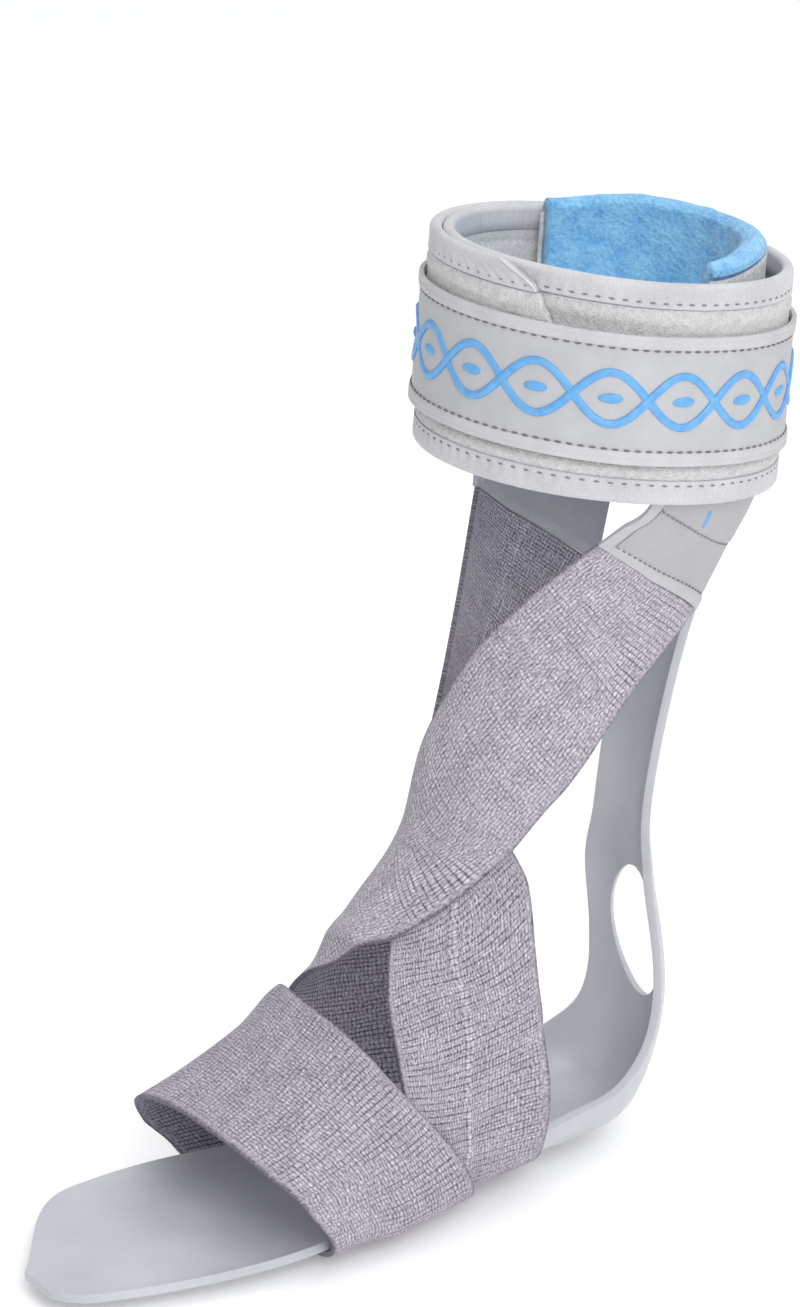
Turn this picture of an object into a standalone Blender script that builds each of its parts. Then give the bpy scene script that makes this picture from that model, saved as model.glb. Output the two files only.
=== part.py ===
"""Foot drop brace for a left foot, in metres, +Z up, toes towards -Y and the outer side towards +X.

The origin lies on top of the sole plate, below the leg. Every strap, the moulded splint and the calf
pad are laid on one guide form: the outline of foot, leg and splint together, lofted through short
tables of sections. A place on it is a station, which counts the sections from the toes up to the
calf, and an angle, which runs from 0 at the front over 90 at the outer side to 180 at the sole, the
heel and the back of the leg.
"""

import math
from collections import namedtuple

import bmesh
import bpy
from mathutils import Vector

# Clearances: between neighbours that touch, under the elastic straps, between two straps that cross,
# and between the calf plate and the wrap round it. Straps need more than neighbours because their
# flat faces bend along other lines than those of what they lie on.
node_gap = 0.0003
strap_gap = 0.0005
layer_gap = 0.0008
plate_room = 0.0022

# Walls. A bound edge is thicker than the wrap by binding_lip on each face. A tab starts this share of
# its thickness clear of its strap, because it tilts there.
plate_thickness = 0.003
elastic_thickness = 0.0018
tab_thickness = 0.0018
tab_tilt_share = 0.3
wrap_thickness = 0.0032
binding_lip = 0.0005
cuff_strap_thickness = 0.0016
pad_cover_thickness = 0.0015
pad_lining_thickness = 0.0080

# A strap gets as many more lines of points for one radian of bend as for this much length.
bend_reach = 0.012

# The guide form.
toe_reach = 0.200
instep_height = 0.104
foot_width = 0.100
leg_height = 0.190
leg_width = 0.074

# The cuff round the calf.
cuff_middle_height = 0.2847
cuff_middle_back = 0.0375
cuff_inner_radius = 0.0582
cuff_taper = 0.0012
cuff_height = 0.076
cuff_lean = math.radians(4.9)
cuff_tilt = math.radians(8.0)
binding_height = 0.0086
cuff_strap_height = 0.0440
cuff_strap_rise = 0.0145

# The heel opening of the splint.
heel_opening_width = 0.030
heel_opening_height = 0.052
heel_opening_rise = 0.064

# Overlap of the wrap, in degrees: where its inner end starts and its outer, free end stops. The free
# end is cut on the slant, which begins so far before it, and its upper corner is rounded off.
wrap_start = -100.0
wrap_end = 386.5
wrap_end_slant = 40.0
wrap_end_reach = 60.0
wrap_end_corner = 10.5

# Where the inner layer comes out to the wrap's circle, where the outer one climbs onto it, and where
# the cuff strap comes down again past the free end, in degrees.
inner_layer_ramp = (30.0, 75.0)
outer_layer_ramp = (200.0, 250.0)
strap_fall_ramp = (56.0, 88.0)

# The lower edge of the free end rises over these degrees to this share of the cuff's height. Below it
# the inner layer flares: over which angles and heights, and how far, as a share of half the step
# between layers.
tongue_ramp = (248.0, 310.0)
tongue_rise = 0.45
flare_start = (-78.0, -42.0)
flare_rise = (0.12, 0.42)
lower_flare = 0.8

# Lengths are shares of toe_reach, instep_height and foot_width, turns are in degrees, and a power of
# 2 is an ellipse, a higher one a squarer section. The flat sole cuts off what lies below it.
FootRow = namedtuple("FootRow", "forward up turn top bottom outer inner top_power bottom_power")
FOOT_ROWS = [
    FootRow(1.000, 0.077, 90, 0.09, 1.00, 0.36, 0.38, 2.2, 8.0),
    FootRow(0.825, 0.096, 90, 0.15, 1.00, 0.45, 0.46, 2.2, 8.0),
    FootRow(0.600, 0.135, 90, 0.27, 1.00, 0.51, 0.47, 2.2, 6.0),
    FootRow(0.420, 0.192, 88, 0.46, 0.98, 0.49, 0.41, 2.1, 4.2),
    FootRow(0.260, 0.308, 70, 0.505, 0.92, 0.45, 0.38, 2.0, 3.0),
    FootRow(0.100, 0.500, 42, 0.565, 0.82, 0.39, 0.36, 2.0, 2.5),
    FootRow(0.030, 0.712, 27, 0.53, 0.74, 0.37, 0.35, 2.0, 2.3),
    FootRow(-0.015, 1.000, 14, 0.42, 0.54, 0.34, 0.33, 2.0, 2.1),
]

# The same for the leg above it, in shares of leg_height and leg_width.
LegRow = namedtuple("LegRow", "back up turn front rear outer inner")
LEG_ROWS = [
    LegRow(0.026, 0.684, 8, 0.48, 0.69, 0.446, 0.432),
    LegRow(0.095, 1.000, 8, 0.50, 0.69, 0.500, 0.500),
]

# The calf, at heights along the cuff from 0 at its lower to 1 at its upper rim: half widths as
# shares of the cuff's inner radius. Its rear is the cuff itself, less the gap.
CalfRow = namedtuple("CalfRow", "rise front side")
CALF_ROWS = [
    CalfRow(0.00, 0.79, 0.81),
    CalfRow(0.50, 0.85, 0.92),
    CalfRow(1.24, 0.87, 0.95),
]

# Width of the splint at stations of the form, as shares of the form's half width there.
SplintRow = namedtuple("SplintRow", "station outer inner")
SPLINT_ROWS = [
    SplintRow(0.0, 0.82, 0.80),
    SplintRow(0.9, 0.88, 0.88),
    SplintRow(1.6, 0.92, 0.92),
    SplintRow(2.4, 0.90, 0.90),
    SplintRow(3.4, 0.88, 0.88),
    SplintRow(4.4, 0.88, 0.88),
    SplintRow(4.9, 0.87, 0.87),
    SplintRow(5.3, 0.75, 0.75),
    SplintRow(5.7, 0.64, 0.64),
    SplintRow(6.3, 0.63, 0.63),
    SplintRow(6.9, 0.61, 0.61),
    SplintRow(7.6, 0.52, 0.52),
    SplintRow(8.6, 0.50, 0.50),
    SplintRow(9.6, 0.48, 0.48),
    SplintRow(10.6, 0.52, 0.52),
    SplintRow(11.6, 0.54, 0.54),
]
splint_top_station = 11.55

# How far from its toe end, in stations, the splint reaches its full width on the outer and the
# inner side, how much of each half it has at the very end, and the same for its top.
toe_rounding = 0.42
inner_toe_rounding = 1.20
outer_tip_share = 0.62
inner_tip_share = -0.15
top_rounding = 0.36
top_share = 0.22

# Both edges of each elastic strap along its run: station and angle of the edge on the heel's side,
# then of the edge on the toes' side.
StrapRow = namedtuple("StrapRow", "heel_station heel_angle toe_station toe_angle")
ANKLE_STRAP_ROWS = [
    StrapRow(9.65, 60, 9.20, 126),
    StrapRow(9.40, 44, 8.82, 104),
    StrapRow(9.15, 28, 8.52, 90),
    StrapRow(8.90, 12, 8.28, 77),
    StrapRow(8.65, -2, 8.02, 64),
    StrapRow(8.38, -16, 7.60, 53),
    StrapRow(8.05, -29, 6.95, 41),
    StrapRow(7.62, -42, 6.15, 28),
    StrapRow(7.10, -54, 5.20, 17),
    StrapRow(6.55, -65, 4.40, 5),
    StrapRow(5.95, -76, 3.85, -10),
    StrapRow(5.40, -87, 3.60, -30),
    StrapRow(5.00, -100, 3.45, -55),
    StrapRow(4.70, -120, 3.35, -90),
    StrapRow(4.50, -145, 3.30, -130),
    StrapRow(4.42, -180, 3.28, -180),
]
STIRRUP_STRAP_ROWS = [
    StrapRow(9.60, -68, 9.15, -132),
    StrapRow(9.00, -61, 8.35, -110),
    StrapRow(8.50, -52, 7.50, -88),
    StrapRow(8.15, -40, 6.85, -68),
    StrapRow(8.00, -24, 6.45, -50),
    StrapRow(8.02, -6, 6.25, -33),
    StrapRow(8.05, 12, 6.15, -18),
    StrapRow(8.02, 28, 6.05, -4),
    StrapRow(7.90, 43, 5.85, 8),
    StrapRow(7.62, 54, 5.45, 17),
    StrapRow(7.20, 62, 4.80, 23),
    StrapRow(6.75, 69, 4.20, 29),
    StrapRow(6.25, 76, 3.85, 38),
    StrapRow(5.60, 86, 3.60, 50),
    StrapRow(5.00, 98, 3.45, 64),
    StrapRow(4.62, 120, 3.36, 92),
    StrapRow(4.48, 145, 3.30, 130),
    StrapRow(4.42, 180, 3.28, 180),
]

# Front and rear edge of the forefoot band, as stations, at angles round the foot.
BandRow = namedtuple("BandRow", "angle front rear")
BAND_ROWS = [
    BandRow(-180, 2.35, 3.95),
    BandRow(-140, 2.32, 3.90),
    BandRow(-100, 2.02, 3.65),
    BandRow(-65, 1.82, 3.40),
    BandRow(-32, 1.75, 3.20),
    BandRow(-5, 1.75, 3.05),
    BandRow(20, 1.77, 3.07),
    BandRow(48, 1.86, 3.25),
    BandRow(64, 1.97, 3.45),
    BandRow(86, 2.13, 3.75),
    BandRow(104, 2.25, 3.87),
    BandRow(125, 2.36, 3.95),
    BandRow(150, 2.37, 3.97),
    BandRow(180, 2.35, 3.95),
]

# Where the ankle strap climbs onto the stirrup strap and down again, and where the band climbs onto
# both: station and angle limits of each ramp.
ankle_ramp_low = (3.80, 4.60)
ankle_ramp_high = (8.20, 8.80)
ankle_ramp_angle = (-90.0, -62.0)
band_ramp_station = (2.70, 3.18)

# The tabs, from the end of the strap to the inside of the wrap: angles of both edges where the tab
# passes the cuff's lower rim and at its top, and how far up the wrap it reaches.
TabRow = namedtuple("TabRow", "front_angle rear_angle rise inset")
TAB_ROWS = [
    TabRow(74, 136, -0.02, 0.0018),
    TabRow(82, 144, 0.26, 0.0),
]

# The calf pad: how far round it reaches, over how many degrees its top rises from each side to the
# back, its heights along the cuff as stations of the form, and how far the lining rolls over its top.
pad_side_angle = 94.0
pad_top_reach = 46.0
pad_bottom_station = 10.06
pad_side_top_station = 11.76
pad_back_top_station = 11.84
pad_roll = 0.10

# The lining thins towards its two side ends, to this share of its thickness and along this power of
# a sine.
pad_side_share = 0.45
pad_side_power = 0.35

# Section of the lining above its seam: share of the way up from the seam to the top, whether it
# starts from the outer or the leg's face, and share of the way from there to the pad's middle.
PadRow = namedtuple("PadRow", "rise outer_face inwards")
PAD_ROLL_ROWS = [
    PadRow(0.55, True, 0.12),
    PadRow(0.85, True, 0.45),
    PadRow(1.00, True, 1.00),
    PadRow(0.88, False, 0.45),
    PadRow(0.55, False, 0.00),
]
pad_seam_step = (0.012, 0.022)
pad_foot_share = 0.25
pad_full_share = 0.6

MATERIALS = {
    "moulded_plastic": ((0.60, 0.61, 0.64, 1.0), 0.35),
    "ribbed_elastic": ((0.42, 0.41, 0.46, 1.0), 0.90),
    "smooth_strap": ((0.61, 0.62, 0.63, 1.0), 0.55),
    "loop_fabric": ((0.66, 0.66, 0.67, 1.0), 0.95),
    "bound_edge": ((0.69, 0.70, 0.74, 1.0), 0.90),
    "pad_fabric": ((0.64, 0.65, 0.67, 1.0), 0.95),
    "blue_lining": ((0.22, 0.50, 0.85, 1.0), 0.95),
}


def clear_scene():
    for obj in list(bpy.data.objects):
        bpy.data.objects.remove(obj, do_unlink=True)


def make_material(name):
    colour, roughness = MATERIALS[name]
    material = bpy.data.materials.new(name)
    material.use_nodes = True
    shader = material.node_tree.nodes["Principled BSDF"]
    shader.inputs["Base Color"].default_value = colour
    shader.inputs["Roughness"].default_value = roughness
    shader.inputs["Metallic"].default_value = 0.0
    return material


def ramp(low, high, value):
    """0 below low, 1 above high, and a smooth rise between."""
    share = min(max((value - low) / (high - low), 0.0), 1.0)
    return share * share * (3.0 - 2.0 * share)


def mix(first, second, share):
    return first + (second - first) * share


def through(rows, places, place):
    """The row at a place, on a smooth curve through the rows at the given places."""
    last = len(rows) - 1
    index = 0
    while index < last - 1 and places[index + 1] <= place:
        index += 1
    span = places[index + 1] - places[index]
    share = (place - places[index]) / span

    def slope(at):
        before, after = max(at - 1, 0), min(at + 1, last)
        reach = places[after] - places[before]
        return [(b - a) / reach * span for a, b in zip(rows[before], rows[after])]

    square, cube = share**2, share**3
    weights = (
        2 * cube - 3 * square + 1,
        cube - 2 * square + share,
        3 * square - 2 * cube,
        cube - square,
    )
    parts = zip(rows[index], slope(index), rows[index + 1], slope(index + 1))
    return [sum(w * v for w, v in zip(weights, values)) for values in parts]


def cuff_centre(rise):
    """The middle of the cuff at a height from 0 at its lower rim to 1 at its upper rim."""
    along = (rise - 0.5) * cuff_height
    back = cuff_middle_back + along * math.sin(cuff_lean)
    return Vector((0.0, back, cuff_middle_height + along * math.cos(cuff_lean)))


def cuff_radius(rise):
    return cuff_inner_radius - cuff_taper * (rise - 0.5)


def cuff_point(angle, rise, out):
    """A point out from the cuff's inner face, at an angle counted as on the form."""
    radius = cuff_radius(rise) + out
    turn = math.radians(angle)
    front = Vector((0.0, -math.cos(cuff_tilt), math.sin(cuff_tilt)))
    side = Vector((1.0, 0.0, 0.0))
    return cuff_centre(rise) + radius * (math.cos(turn) * front + math.sin(turn) * side)


def form_rows():
    """All sections in metres: place, turn, half widths up, down, out and in, and both powers."""
    rows = []
    for row in FOOT_ROWS:
        widths = [share * foot_width for share in (row.top, row.bottom, row.outer, row.inner)]
        place = [-row.forward * toe_reach, row.up * instep_height, row.turn]
        rows.append(place + widths + [row.top_power, row.bottom_power])
    for row in LEG_ROWS:
        widths = [share * leg_width for share in (row.front, row.rear, row.outer, row.inner)]
        place = [row.back * leg_height, row.up * leg_height, row.turn]
        rows.append(place + widths + [2.0, 2.0])
    for row in CALF_ROWS:
        centre, radius = cuff_centre(row.rise), cuff_radius(row.rise)
        widths = [row.front * radius, radius - plate_room, row.side * radius, row.side * radius]
        place = [centre.y, centre.z, math.degrees(cuff_tilt)]
        rows.append(place + widths + [2.0, 2.0])
    return rows


FORM = form_rows()
FORM_PLACES = list(range(len(FORM)))

# The flat sole cuts sections that turn down by more than this sine, in a corner of this power.
sole_cut_slope = 0.3
sole_cut_power = 14.0


# Points inside the instep and the forefoot, which the walls round them face away from.
instep_middle = Vector((0.0, 0.0, 0.5 * instep_height))
forefoot_middle = Vector((0.0, -0.45 * toe_reach, 0.24 * instep_height))


def form_section(station):
    """The section at a station, whose lower half stops at the underside of the sole plate."""
    row = through(FORM, FORM_PLACES, station)
    slope = math.sin(math.radians(row[2]))
    if slope > sole_cut_slope:
        to_sole = (row[1] + plate_thickness) / slope
        down = min(row[4], 2.0 * to_sole)
        row[4] = (down**-sole_cut_power + to_sole**-sole_cut_power) ** (-1.0 / sole_cut_power)
    return row


def form_point(station, angle, out):
    """A point out from the form."""
    y, z, turn, up, down, outer, inner, up_power, down_power = form_section(station)
    turn = math.radians(turn)
    front = Vector((0.0, -math.cos(turn), math.sin(turn)))
    along, across = math.cos(math.radians(angle)), math.sin(math.radians(angle))
    reach, power = (up, up_power) if along >= 0 else (down, down_power)
    width = outer if across >= 0 else inner
    round_off = (abs(along) ** power + abs(across) ** power) ** (-1.0 / power)
    shift = (reach + out) * along * round_off * front
    return Vector(((width + out) * across * round_off, y, z)) + shift


def edge_angle(station, share, side):
    """The angle at which the lower half of the form is a share of its half width wide."""
    power = form_section(station)[8]
    height = (1.0 - abs(share) ** power) ** (1.0 / power)
    return 180.0 - side * math.degrees(math.atan2(share, height))


def finish(mesh, name, material, smooth_below=50.0):
    mesh.shade_smooth()
    mesh.set_sharp_from_angle(angle=math.radians(smooth_below))
    mesh.materials.append(material)
    obj = bpy.data.objects.new(name, mesh)
    brace.objects.link(obj)
    return obj


def sheet(name, grid, inside, thickness, material, closed=False):
    """A wall on a grid of points, which grows away from the point inside, or towards it if the
    thickness is negative. Closed joins the last line of points to the first."""
    lines, width = len(grid), len(grid[0])
    bm = bmesh.new()
    verts = [[bm.verts.new(point) for point in line] for line in grid]
    for i in range(lines if closed else lines - 1):
        after = verts[(i + 1) % lines]
        for j in range(width - 1):
            bm.faces.new((verts[i][j], after[j], after[j + 1], verts[i][j + 1]))
    bm.faces.ensure_lookup_table()
    first = bm.faces[(lines // 2) * (width - 1)]
    first.normal_update()
    if first.normal.dot(first.calc_center_median() - inside) < 0:
        bmesh.ops.reverse_faces(bm, faces=bm.faces)
    mesh = bpy.data.meshes.new(name)
    bm.to_mesh(mesh)
    bm.free()
    obj = finish(mesh, name, material)
    wall = obj.modifiers.new("wall", "SOLIDIFY")
    wall.thickness = abs(thickness)
    wall.offset = 1.0 if thickness > 0 else -1.0
    wall.use_even_offset = True
    return obj


def loft(name, loops, material):
    """A closed skin over equal closed loops of points, with a flat cap at each end."""
    bm = bmesh.new()
    rings = [[bm.verts.new(point) for point in loop] for loop in loops]
    count = len(rings[0])
    for ring, after in zip(rings, rings[1:]):
        for j in range(count):
            k = (j + 1) % count
            bm.faces.new((ring[j], after[j], after[k], ring[k]))
    bm.faces.new(rings[0])
    bm.faces.new(rings[-1])
    bmesh.ops.recalc_face_normals(bm, faces=bm.faces)
    mesh = bpy.data.meshes.new(name)
    bm.to_mesh(mesh)
    bm.free()
    return finish(mesh, name, material)


def make_splint(material):
    """Sole plate, heel cup, strut and calf plate in one moulding, with the opening at the heel."""
    toe_steps, middle_steps, top_steps, across = 9, 36, 5, 8
    places = [row.station for row in SPLINT_ROWS]
    toe_stations = [
        inner_toe_rounding * (1 - math.cos(step / toe_steps * math.pi / 2))
        for step in range(toe_steps)
    ]
    top_stations = [
        splint_top_station - top_rounding * (1 - math.cos(step / top_steps * math.pi / 2))
        for step in range(top_steps)
    ]
    first, last = inner_toe_rounding, splint_top_station - top_rounding
    middle = [mix(first, last, step / middle_steps) for step in range(middle_steps + 1)]
    stations = toe_stations + middle + top_stations[::-1]
    grid = []
    for station in stations:
        _, outer, inner = through(SPLINT_ROWS, places, station)
        from_toe = min(station / toe_rounding, 1.0)
        outer *= mix(outer_tip_share, 1.0, math.sqrt(1.0 - (1.0 - from_toe) ** 2))
        inner_from_toe = min(station / inner_toe_rounding, 1.0)
        inner *= mix(inner_tip_share, 1.0, math.sin(inner_from_toe * math.pi / 2))
        from_top = min((splint_top_station - station) / top_rounding, 1.0)
        narrowing = mix(top_share, 1.0, math.sqrt(1.0 - (1.0 - from_top) ** 2))
        left = edge_angle(station, outer * narrowing, 1)
        right = edge_angle(station, inner * narrowing, -1)
        grid.append([
            form_point(station, mix(left, right, step / across), 0.0) for step in range(across + 1)
        ])
    splint = sheet("splint", grid, instep_middle, -plate_thickness, material)
    cut_heel_opening(splint)
    return splint


def cut_heel_opening(splint):
    bm = bmesh.new()
    depth = toe_reach
    bmesh.ops.create_cone(
        bm, cap_ends=True, segments=28, radius1=0.5, radius2=0.5, depth=depth
    )
    for vert in bm.verts:
        across, along, deep = vert.co
        vert.co = (across * heel_opening_width, deep, along * heel_opening_height)
    bmesh.ops.recalc_face_normals(bm, faces=bm.faces)
    mesh = bpy.data.meshes.new("heel_opening_cutter")
    bm.to_mesh(mesh)
    bm.free()
    cutter = bpy.data.objects.new("heel_opening_cutter", mesh)
    cutter.location = (0.0, depth / 2, heel_opening_rise)
    cutter.hide_render = True
    cutter.display_type = "WIRE"
    cutters.objects.link(cutter)
    cut = splint.modifiers.new("heel opening", "BOOLEAN")
    cut.operation = "DIFFERENCE"
    cut.solver = "EXACT"
    cut.object = cutter


def spread(curves, count):
    """Shares from 0 to 1 along curves that run side by side, closer together where they bend."""
    fine = 180
    lines = [[curve(step / fine) for step in range(fine + 1)] for curve in curves]
    reached = [0.0]
    for i in range(1, fine + 1):
        added = 0.0
        for line in lines:
            leg = line[i] - line[i - 1]
            bend = leg.angle(line[i - 1] - line[i - 2], 0.0) if i > 1 else 0.0
            added += leg.length + bend_reach * bend
        reached.append(reached[-1] + added)
    shares, index = [], 0
    for step in range(count + 1):
        wanted = reached[-1] * step / count
        while index < fine - 1 and reached[index + 1] < wanted:
            index += 1
        share = (wanted - reached[index]) / (reached[index + 1] - reached[index])
        shares.append((index + share) / fine)
    return shares


def taut(places, climb, closed=False):
    """Points at stations and angles, each so far out that the flat faces between them stay clear."""
    probe = 0.001

    def at(place, more=0.0):
        return form_point(place[0], place[1], climb(*place) + more)

    def sag(first, second):
        middle = [mix(a, b, 0.5) for a, b in zip(first, second)]
        if abs(second[1] - first[1]) > 180.0:
            middle[1] -= 180.0
        outward = (at(middle, probe) - at(middle)).normalized()
        return (at(middle) - (at(first) + at(second)) / 2).dot(outward)

    lines = len(places)
    grid = []
    for i, line in enumerate(places):
        points = []
        for j, place in enumerate(line):
            beside = []
            for a in (i - 1, i, i + 1):
                if not closed and not 0 <= a < lines:
                    continue
                beside += [
                    places[a % lines][b] for b in (j - 1, j, j + 1)
                    if 0 <= b < len(line) and (a, b) != (i, j)
                ]
            points.append(at(place, max(0.0, *[sag(place, other) for other in beside])))
        grid.append(points)
    return grid


layer = elastic_thickness + layer_gap
wrap_step = wrap_thickness + 2 * binding_lip + node_gap


def no_climb(station, angle):
    return strap_gap


def ankle_climb(station, angle):
    height = ramp(*ankle_ramp_low, station) - ramp(*ankle_ramp_high, station)
    return strap_gap + layer * height * ramp(*ankle_ramp_angle, angle)


def band_climb(station, angle):
    return strap_gap + layer * ramp(*band_ramp_station, station)


def strap_grid(rows, climb, steps, across, side):
    """Lines of points across a strap, which ends half a gap beside the middle line of the sole."""
    numbers = list(range(len(rows)))

    def place(run, share):
        edges = through(rows, numbers, run * numbers[-1])
        return mix(edges[0], edges[2], share), mix(edges[1], edges[3], share)

    def curve(share):
        return lambda run: form_point(*place(run, share), 0.0)

    shares = spread([curve(share) for share in (0.0, 0.5, 1.0)], steps)
    places = [[place(run, part / across) for part in range(across + 1)] for run in shares]
    grid = taut(places, climb)
    for point in grid[-1]:
        point.x = side * node_gap / 2
    return grid


def band_grid(rounds, across):
    """Lines of points across the forefoot band, all round the foot."""
    angles = [row.angle for row in BAND_ROWS]

    def place(run, share):
        angle = mix(-180.0, 180.0, run)
        _, front, rear = through(BAND_ROWS, angles, angle)
        return mix(front, rear, share), angle

    def curve(share):
        return lambda run: form_point(*place(run, share), 0.0)

    shares = spread([curve(share) for share in (0.0, 0.5, 1.0)], rounds)[:-1]
    places = [[place(run, part / across) for part in range(across + 1)] for run in shares]
    return taut(places, band_climb, closed=True)


def make_elastic(material):
    ankle = strap_grid(ANKLE_STRAP_ROWS, ankle_climb, steps=44, across=6, side=-1)
    sheet("ankle_strap", ankle, instep_middle, elastic_thickness, material)
    stirrup = strap_grid(STIRRUP_STRAP_ROWS, no_climb, steps=44, across=6, side=1)
    sheet("stirrup_strap", stirrup, instep_middle, elastic_thickness, material)
    band = band_grid(rounds=52, across=6)
    sheet("forefoot_band", band, forefoot_middle, elastic_thickness, material, closed=True)


def make_tab(name, row, side, material):
    """A tab from the end row of its strap up to the inside of the wrap."""
    steps, across = 8, 5
    strap_end = []
    for part in range(across + 1):
        share = part / across
        station = mix(row.heel_station, row.toe_station, share)
        angle = mix(row.heel_angle, row.toe_angle, share)
        strap_end.append(form_point(station, angle, strap_gap))
    lines = [[], []]
    for tab_row in TAB_ROWS:
        line = []
        for part in range(across + 1):
            angle = side * mix(tab_row.front_angle, tab_row.rear_angle, part / across)
            out = -(strap_gap + binding_lip + tab_thickness + tab_row.inset)
            if side < 0:
                out -= wrap_step / 2
            line.append(cuff_point(angle, tab_row.rise, out))
        lines.append(line)
    for start, rim in zip(strap_end, lines[2]):
        towards = (rim - start).normalized()
        lines[0].append(start + towards * (node_gap + tab_tilt_share * tab_thickness))
        lines[1].append(start.lerp(rim, 0.5))
    inside = Vector((0.0, cuff_middle_back, leg_height))
    places = list(range(len(lines)))
    grid = []
    for step in range(steps + 1):
        place = step / steps * places[-1]
        grid.append([
            Vector(through([line[part] for line in lines], places, place))
            for part in range(across + 1)
        ])
    sheet(name, grid, inside, tab_thickness, material)


def wrap_layer(angle, rise):
    """How far the wrap lies out of its circle: it starts inside it and its free end lies outside.
    Below the tongue of the free end, at the front, the inner layer comes out again."""
    free = ramp(*flare_start, angle) * (1.0 - ramp(*flare_rise, rise))
    inner = mix(-1.0, lower_flare, free) * (1.0 - ramp(*inner_layer_ramp, angle))
    outer = ramp(*outer_layer_ramp, angle)
    return (inner + outer) * wrap_step / 2


def over_wrap(angle):
    """How far the outermost layer of the wrap lies out of its circle, at angles from 0 to 360."""
    rise = ramp(*outer_layer_ramp, angle)
    fall = 1.0 - ramp(*strap_fall_ramp, angle)
    return max(rise, fall) * wrap_step / 2


def slanted(angle, rise):
    """The free end of the wrap is cut on the slant: it lags more the lower it is. Its rounded upper
    corner lies in the bound edge."""
    into_binding = max(0.0, 1.0 - (1.0 - rise) * cuff_height / binding_height)
    lag = (1.0 - rise) * wrap_end_slant - into_binding**2 * wrap_end_corner
    return angle + ramp(wrap_end - wrap_end_reach, wrap_end, angle) * lag


def make_wrap(material):
    steps, across = 62, 5
    low = (binding_height + node_gap) / cuff_height
    grid = []
    for step in range(steps + 1):
        angle = mix(wrap_start, wrap_end, step / steps)
        bottom = mix(low, tongue_rise, ramp(*tongue_ramp, angle))
        line = []
        for part in range(across + 1):
            rise = mix(bottom, 1.0 - low, part / across)
            line.append(cuff_point(slanted(angle, rise), rise, wrap_layer(angle, rise)))
        grid.append(line)
    inside = cuff_centre(0.5)
    sheet("cuff_wrap", grid, inside, wrap_thickness, material)


def binding_loop(angle, layer_out, top):
    """The section of a bound edge: it is thicker than the wrap and round at the rim."""
    inner, outer = layer_out - binding_lip, layer_out + wrap_thickness + binding_lip
    bead = (outer - inner) / 2
    middle = (outer + inner) / 2
    outline = [(0.0, inner), (binding_height - bead, inner)]
    for step in range(1, 4):
        turn = step * math.pi / 4
        along = binding_height - bead + bead * math.sin(turn)
        outline.append((along, middle - bead * math.cos(turn)))
    outline += [(binding_height - bead, outer), (0.0, outer)]
    points = []
    for along, out in outline:
        rise = (binding_height - along) / cuff_height
        rise = 1.0 - rise if top else rise
        at = slanted(angle, rise) if top else angle
        points.append(cuff_point(at, rise, out))
    return points


def make_bindings(material):
    steps = 56
    for name, top, start, end in (
        ("cuff_binding_top", True, wrap_start, wrap_end),
        ("cuff_binding_bottom", False, wrap_start, tongue_ramp[0]),
    ):
        loops = []
        for step in range(steps + 1):
            angle = mix(start, end, step / steps)
            loops.append(binding_loop(angle, wrap_layer(angle, 1.0 if top else 0.0), top))
        loft(name, loops, material)


def make_cuff_strap(material):
    rounds, across = 72, 3
    low = cuff_strap_rise / cuff_height
    high = low + cuff_strap_height / cuff_height
    grid = []
    for step in range(rounds):
        angle = 360.0 * step / rounds
        out = over_wrap(angle) + wrap_thickness + node_gap
        line = [cuff_point(angle, mix(low, high, part / across), out) for part in range(across + 1)]
        grid.append(line)
    sheet("cuff_strap", grid, cuff_centre(0.5), cuff_strap_thickness, material, closed=True)


def pad_top(angle):
    """The pad's top rises from its sides to the back."""
    from_side = min(angle, 360.0 - angle) - pad_side_angle
    return mix(pad_side_top_station, pad_back_top_station, ramp(0.0, pad_top_reach, from_side))


def make_pad(cover_material, lining_material):
    steps, cover_steps = 22, 5
    outer = -(plate_thickness + node_gap)
    under_cover = outer - pad_cover_thickness - node_gap
    inner = under_cover - pad_lining_thickness
    grid, loops = [], []
    for step in range(steps + 1):
        angle = mix(pad_side_angle, 360.0 - pad_side_angle, step / steps)
        top = pad_top(angle)
        seam = top - pad_roll
        grid.append([
            form_point(mix(pad_bottom_station, seam, part / cover_steps), angle, outer)
            for part in range(cover_steps + 1)
        ])
        from_end = math.sin(math.pi * step / steps) ** pad_side_power if 0 < step < steps else 0.0
        face = mix(under_cover, inner, mix(pad_side_share, 1.0, from_end))
        middle = (outer + face) / 2
        outline = [
            (pad_bottom_station, under_cover),
            (mix(pad_bottom_station, seam, 0.5), under_cover),
            (seam + pad_seam_step[0], under_cover),
            (seam + pad_seam_step[1], outer),
        ]
        for row in PAD_ROLL_ROWS:
            side = outer if row.outer_face else face
            outline.append((mix(seam, top, row.rise), mix(side, middle, row.inwards)))
        outline += [
            (mix(pad_bottom_station, seam, pad_full_share), face),
            (pad_bottom_station, mix(face, under_cover, pad_foot_share)),
        ]
        loops.append([form_point(station, angle, out) for station, out in outline])
    inside = cuff_centre(0.5)
    sheet("calf_pad_cover", grid, inside, -pad_cover_thickness, cover_material)
    loft("calf_pad_lining", loops, lining_material)


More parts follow.
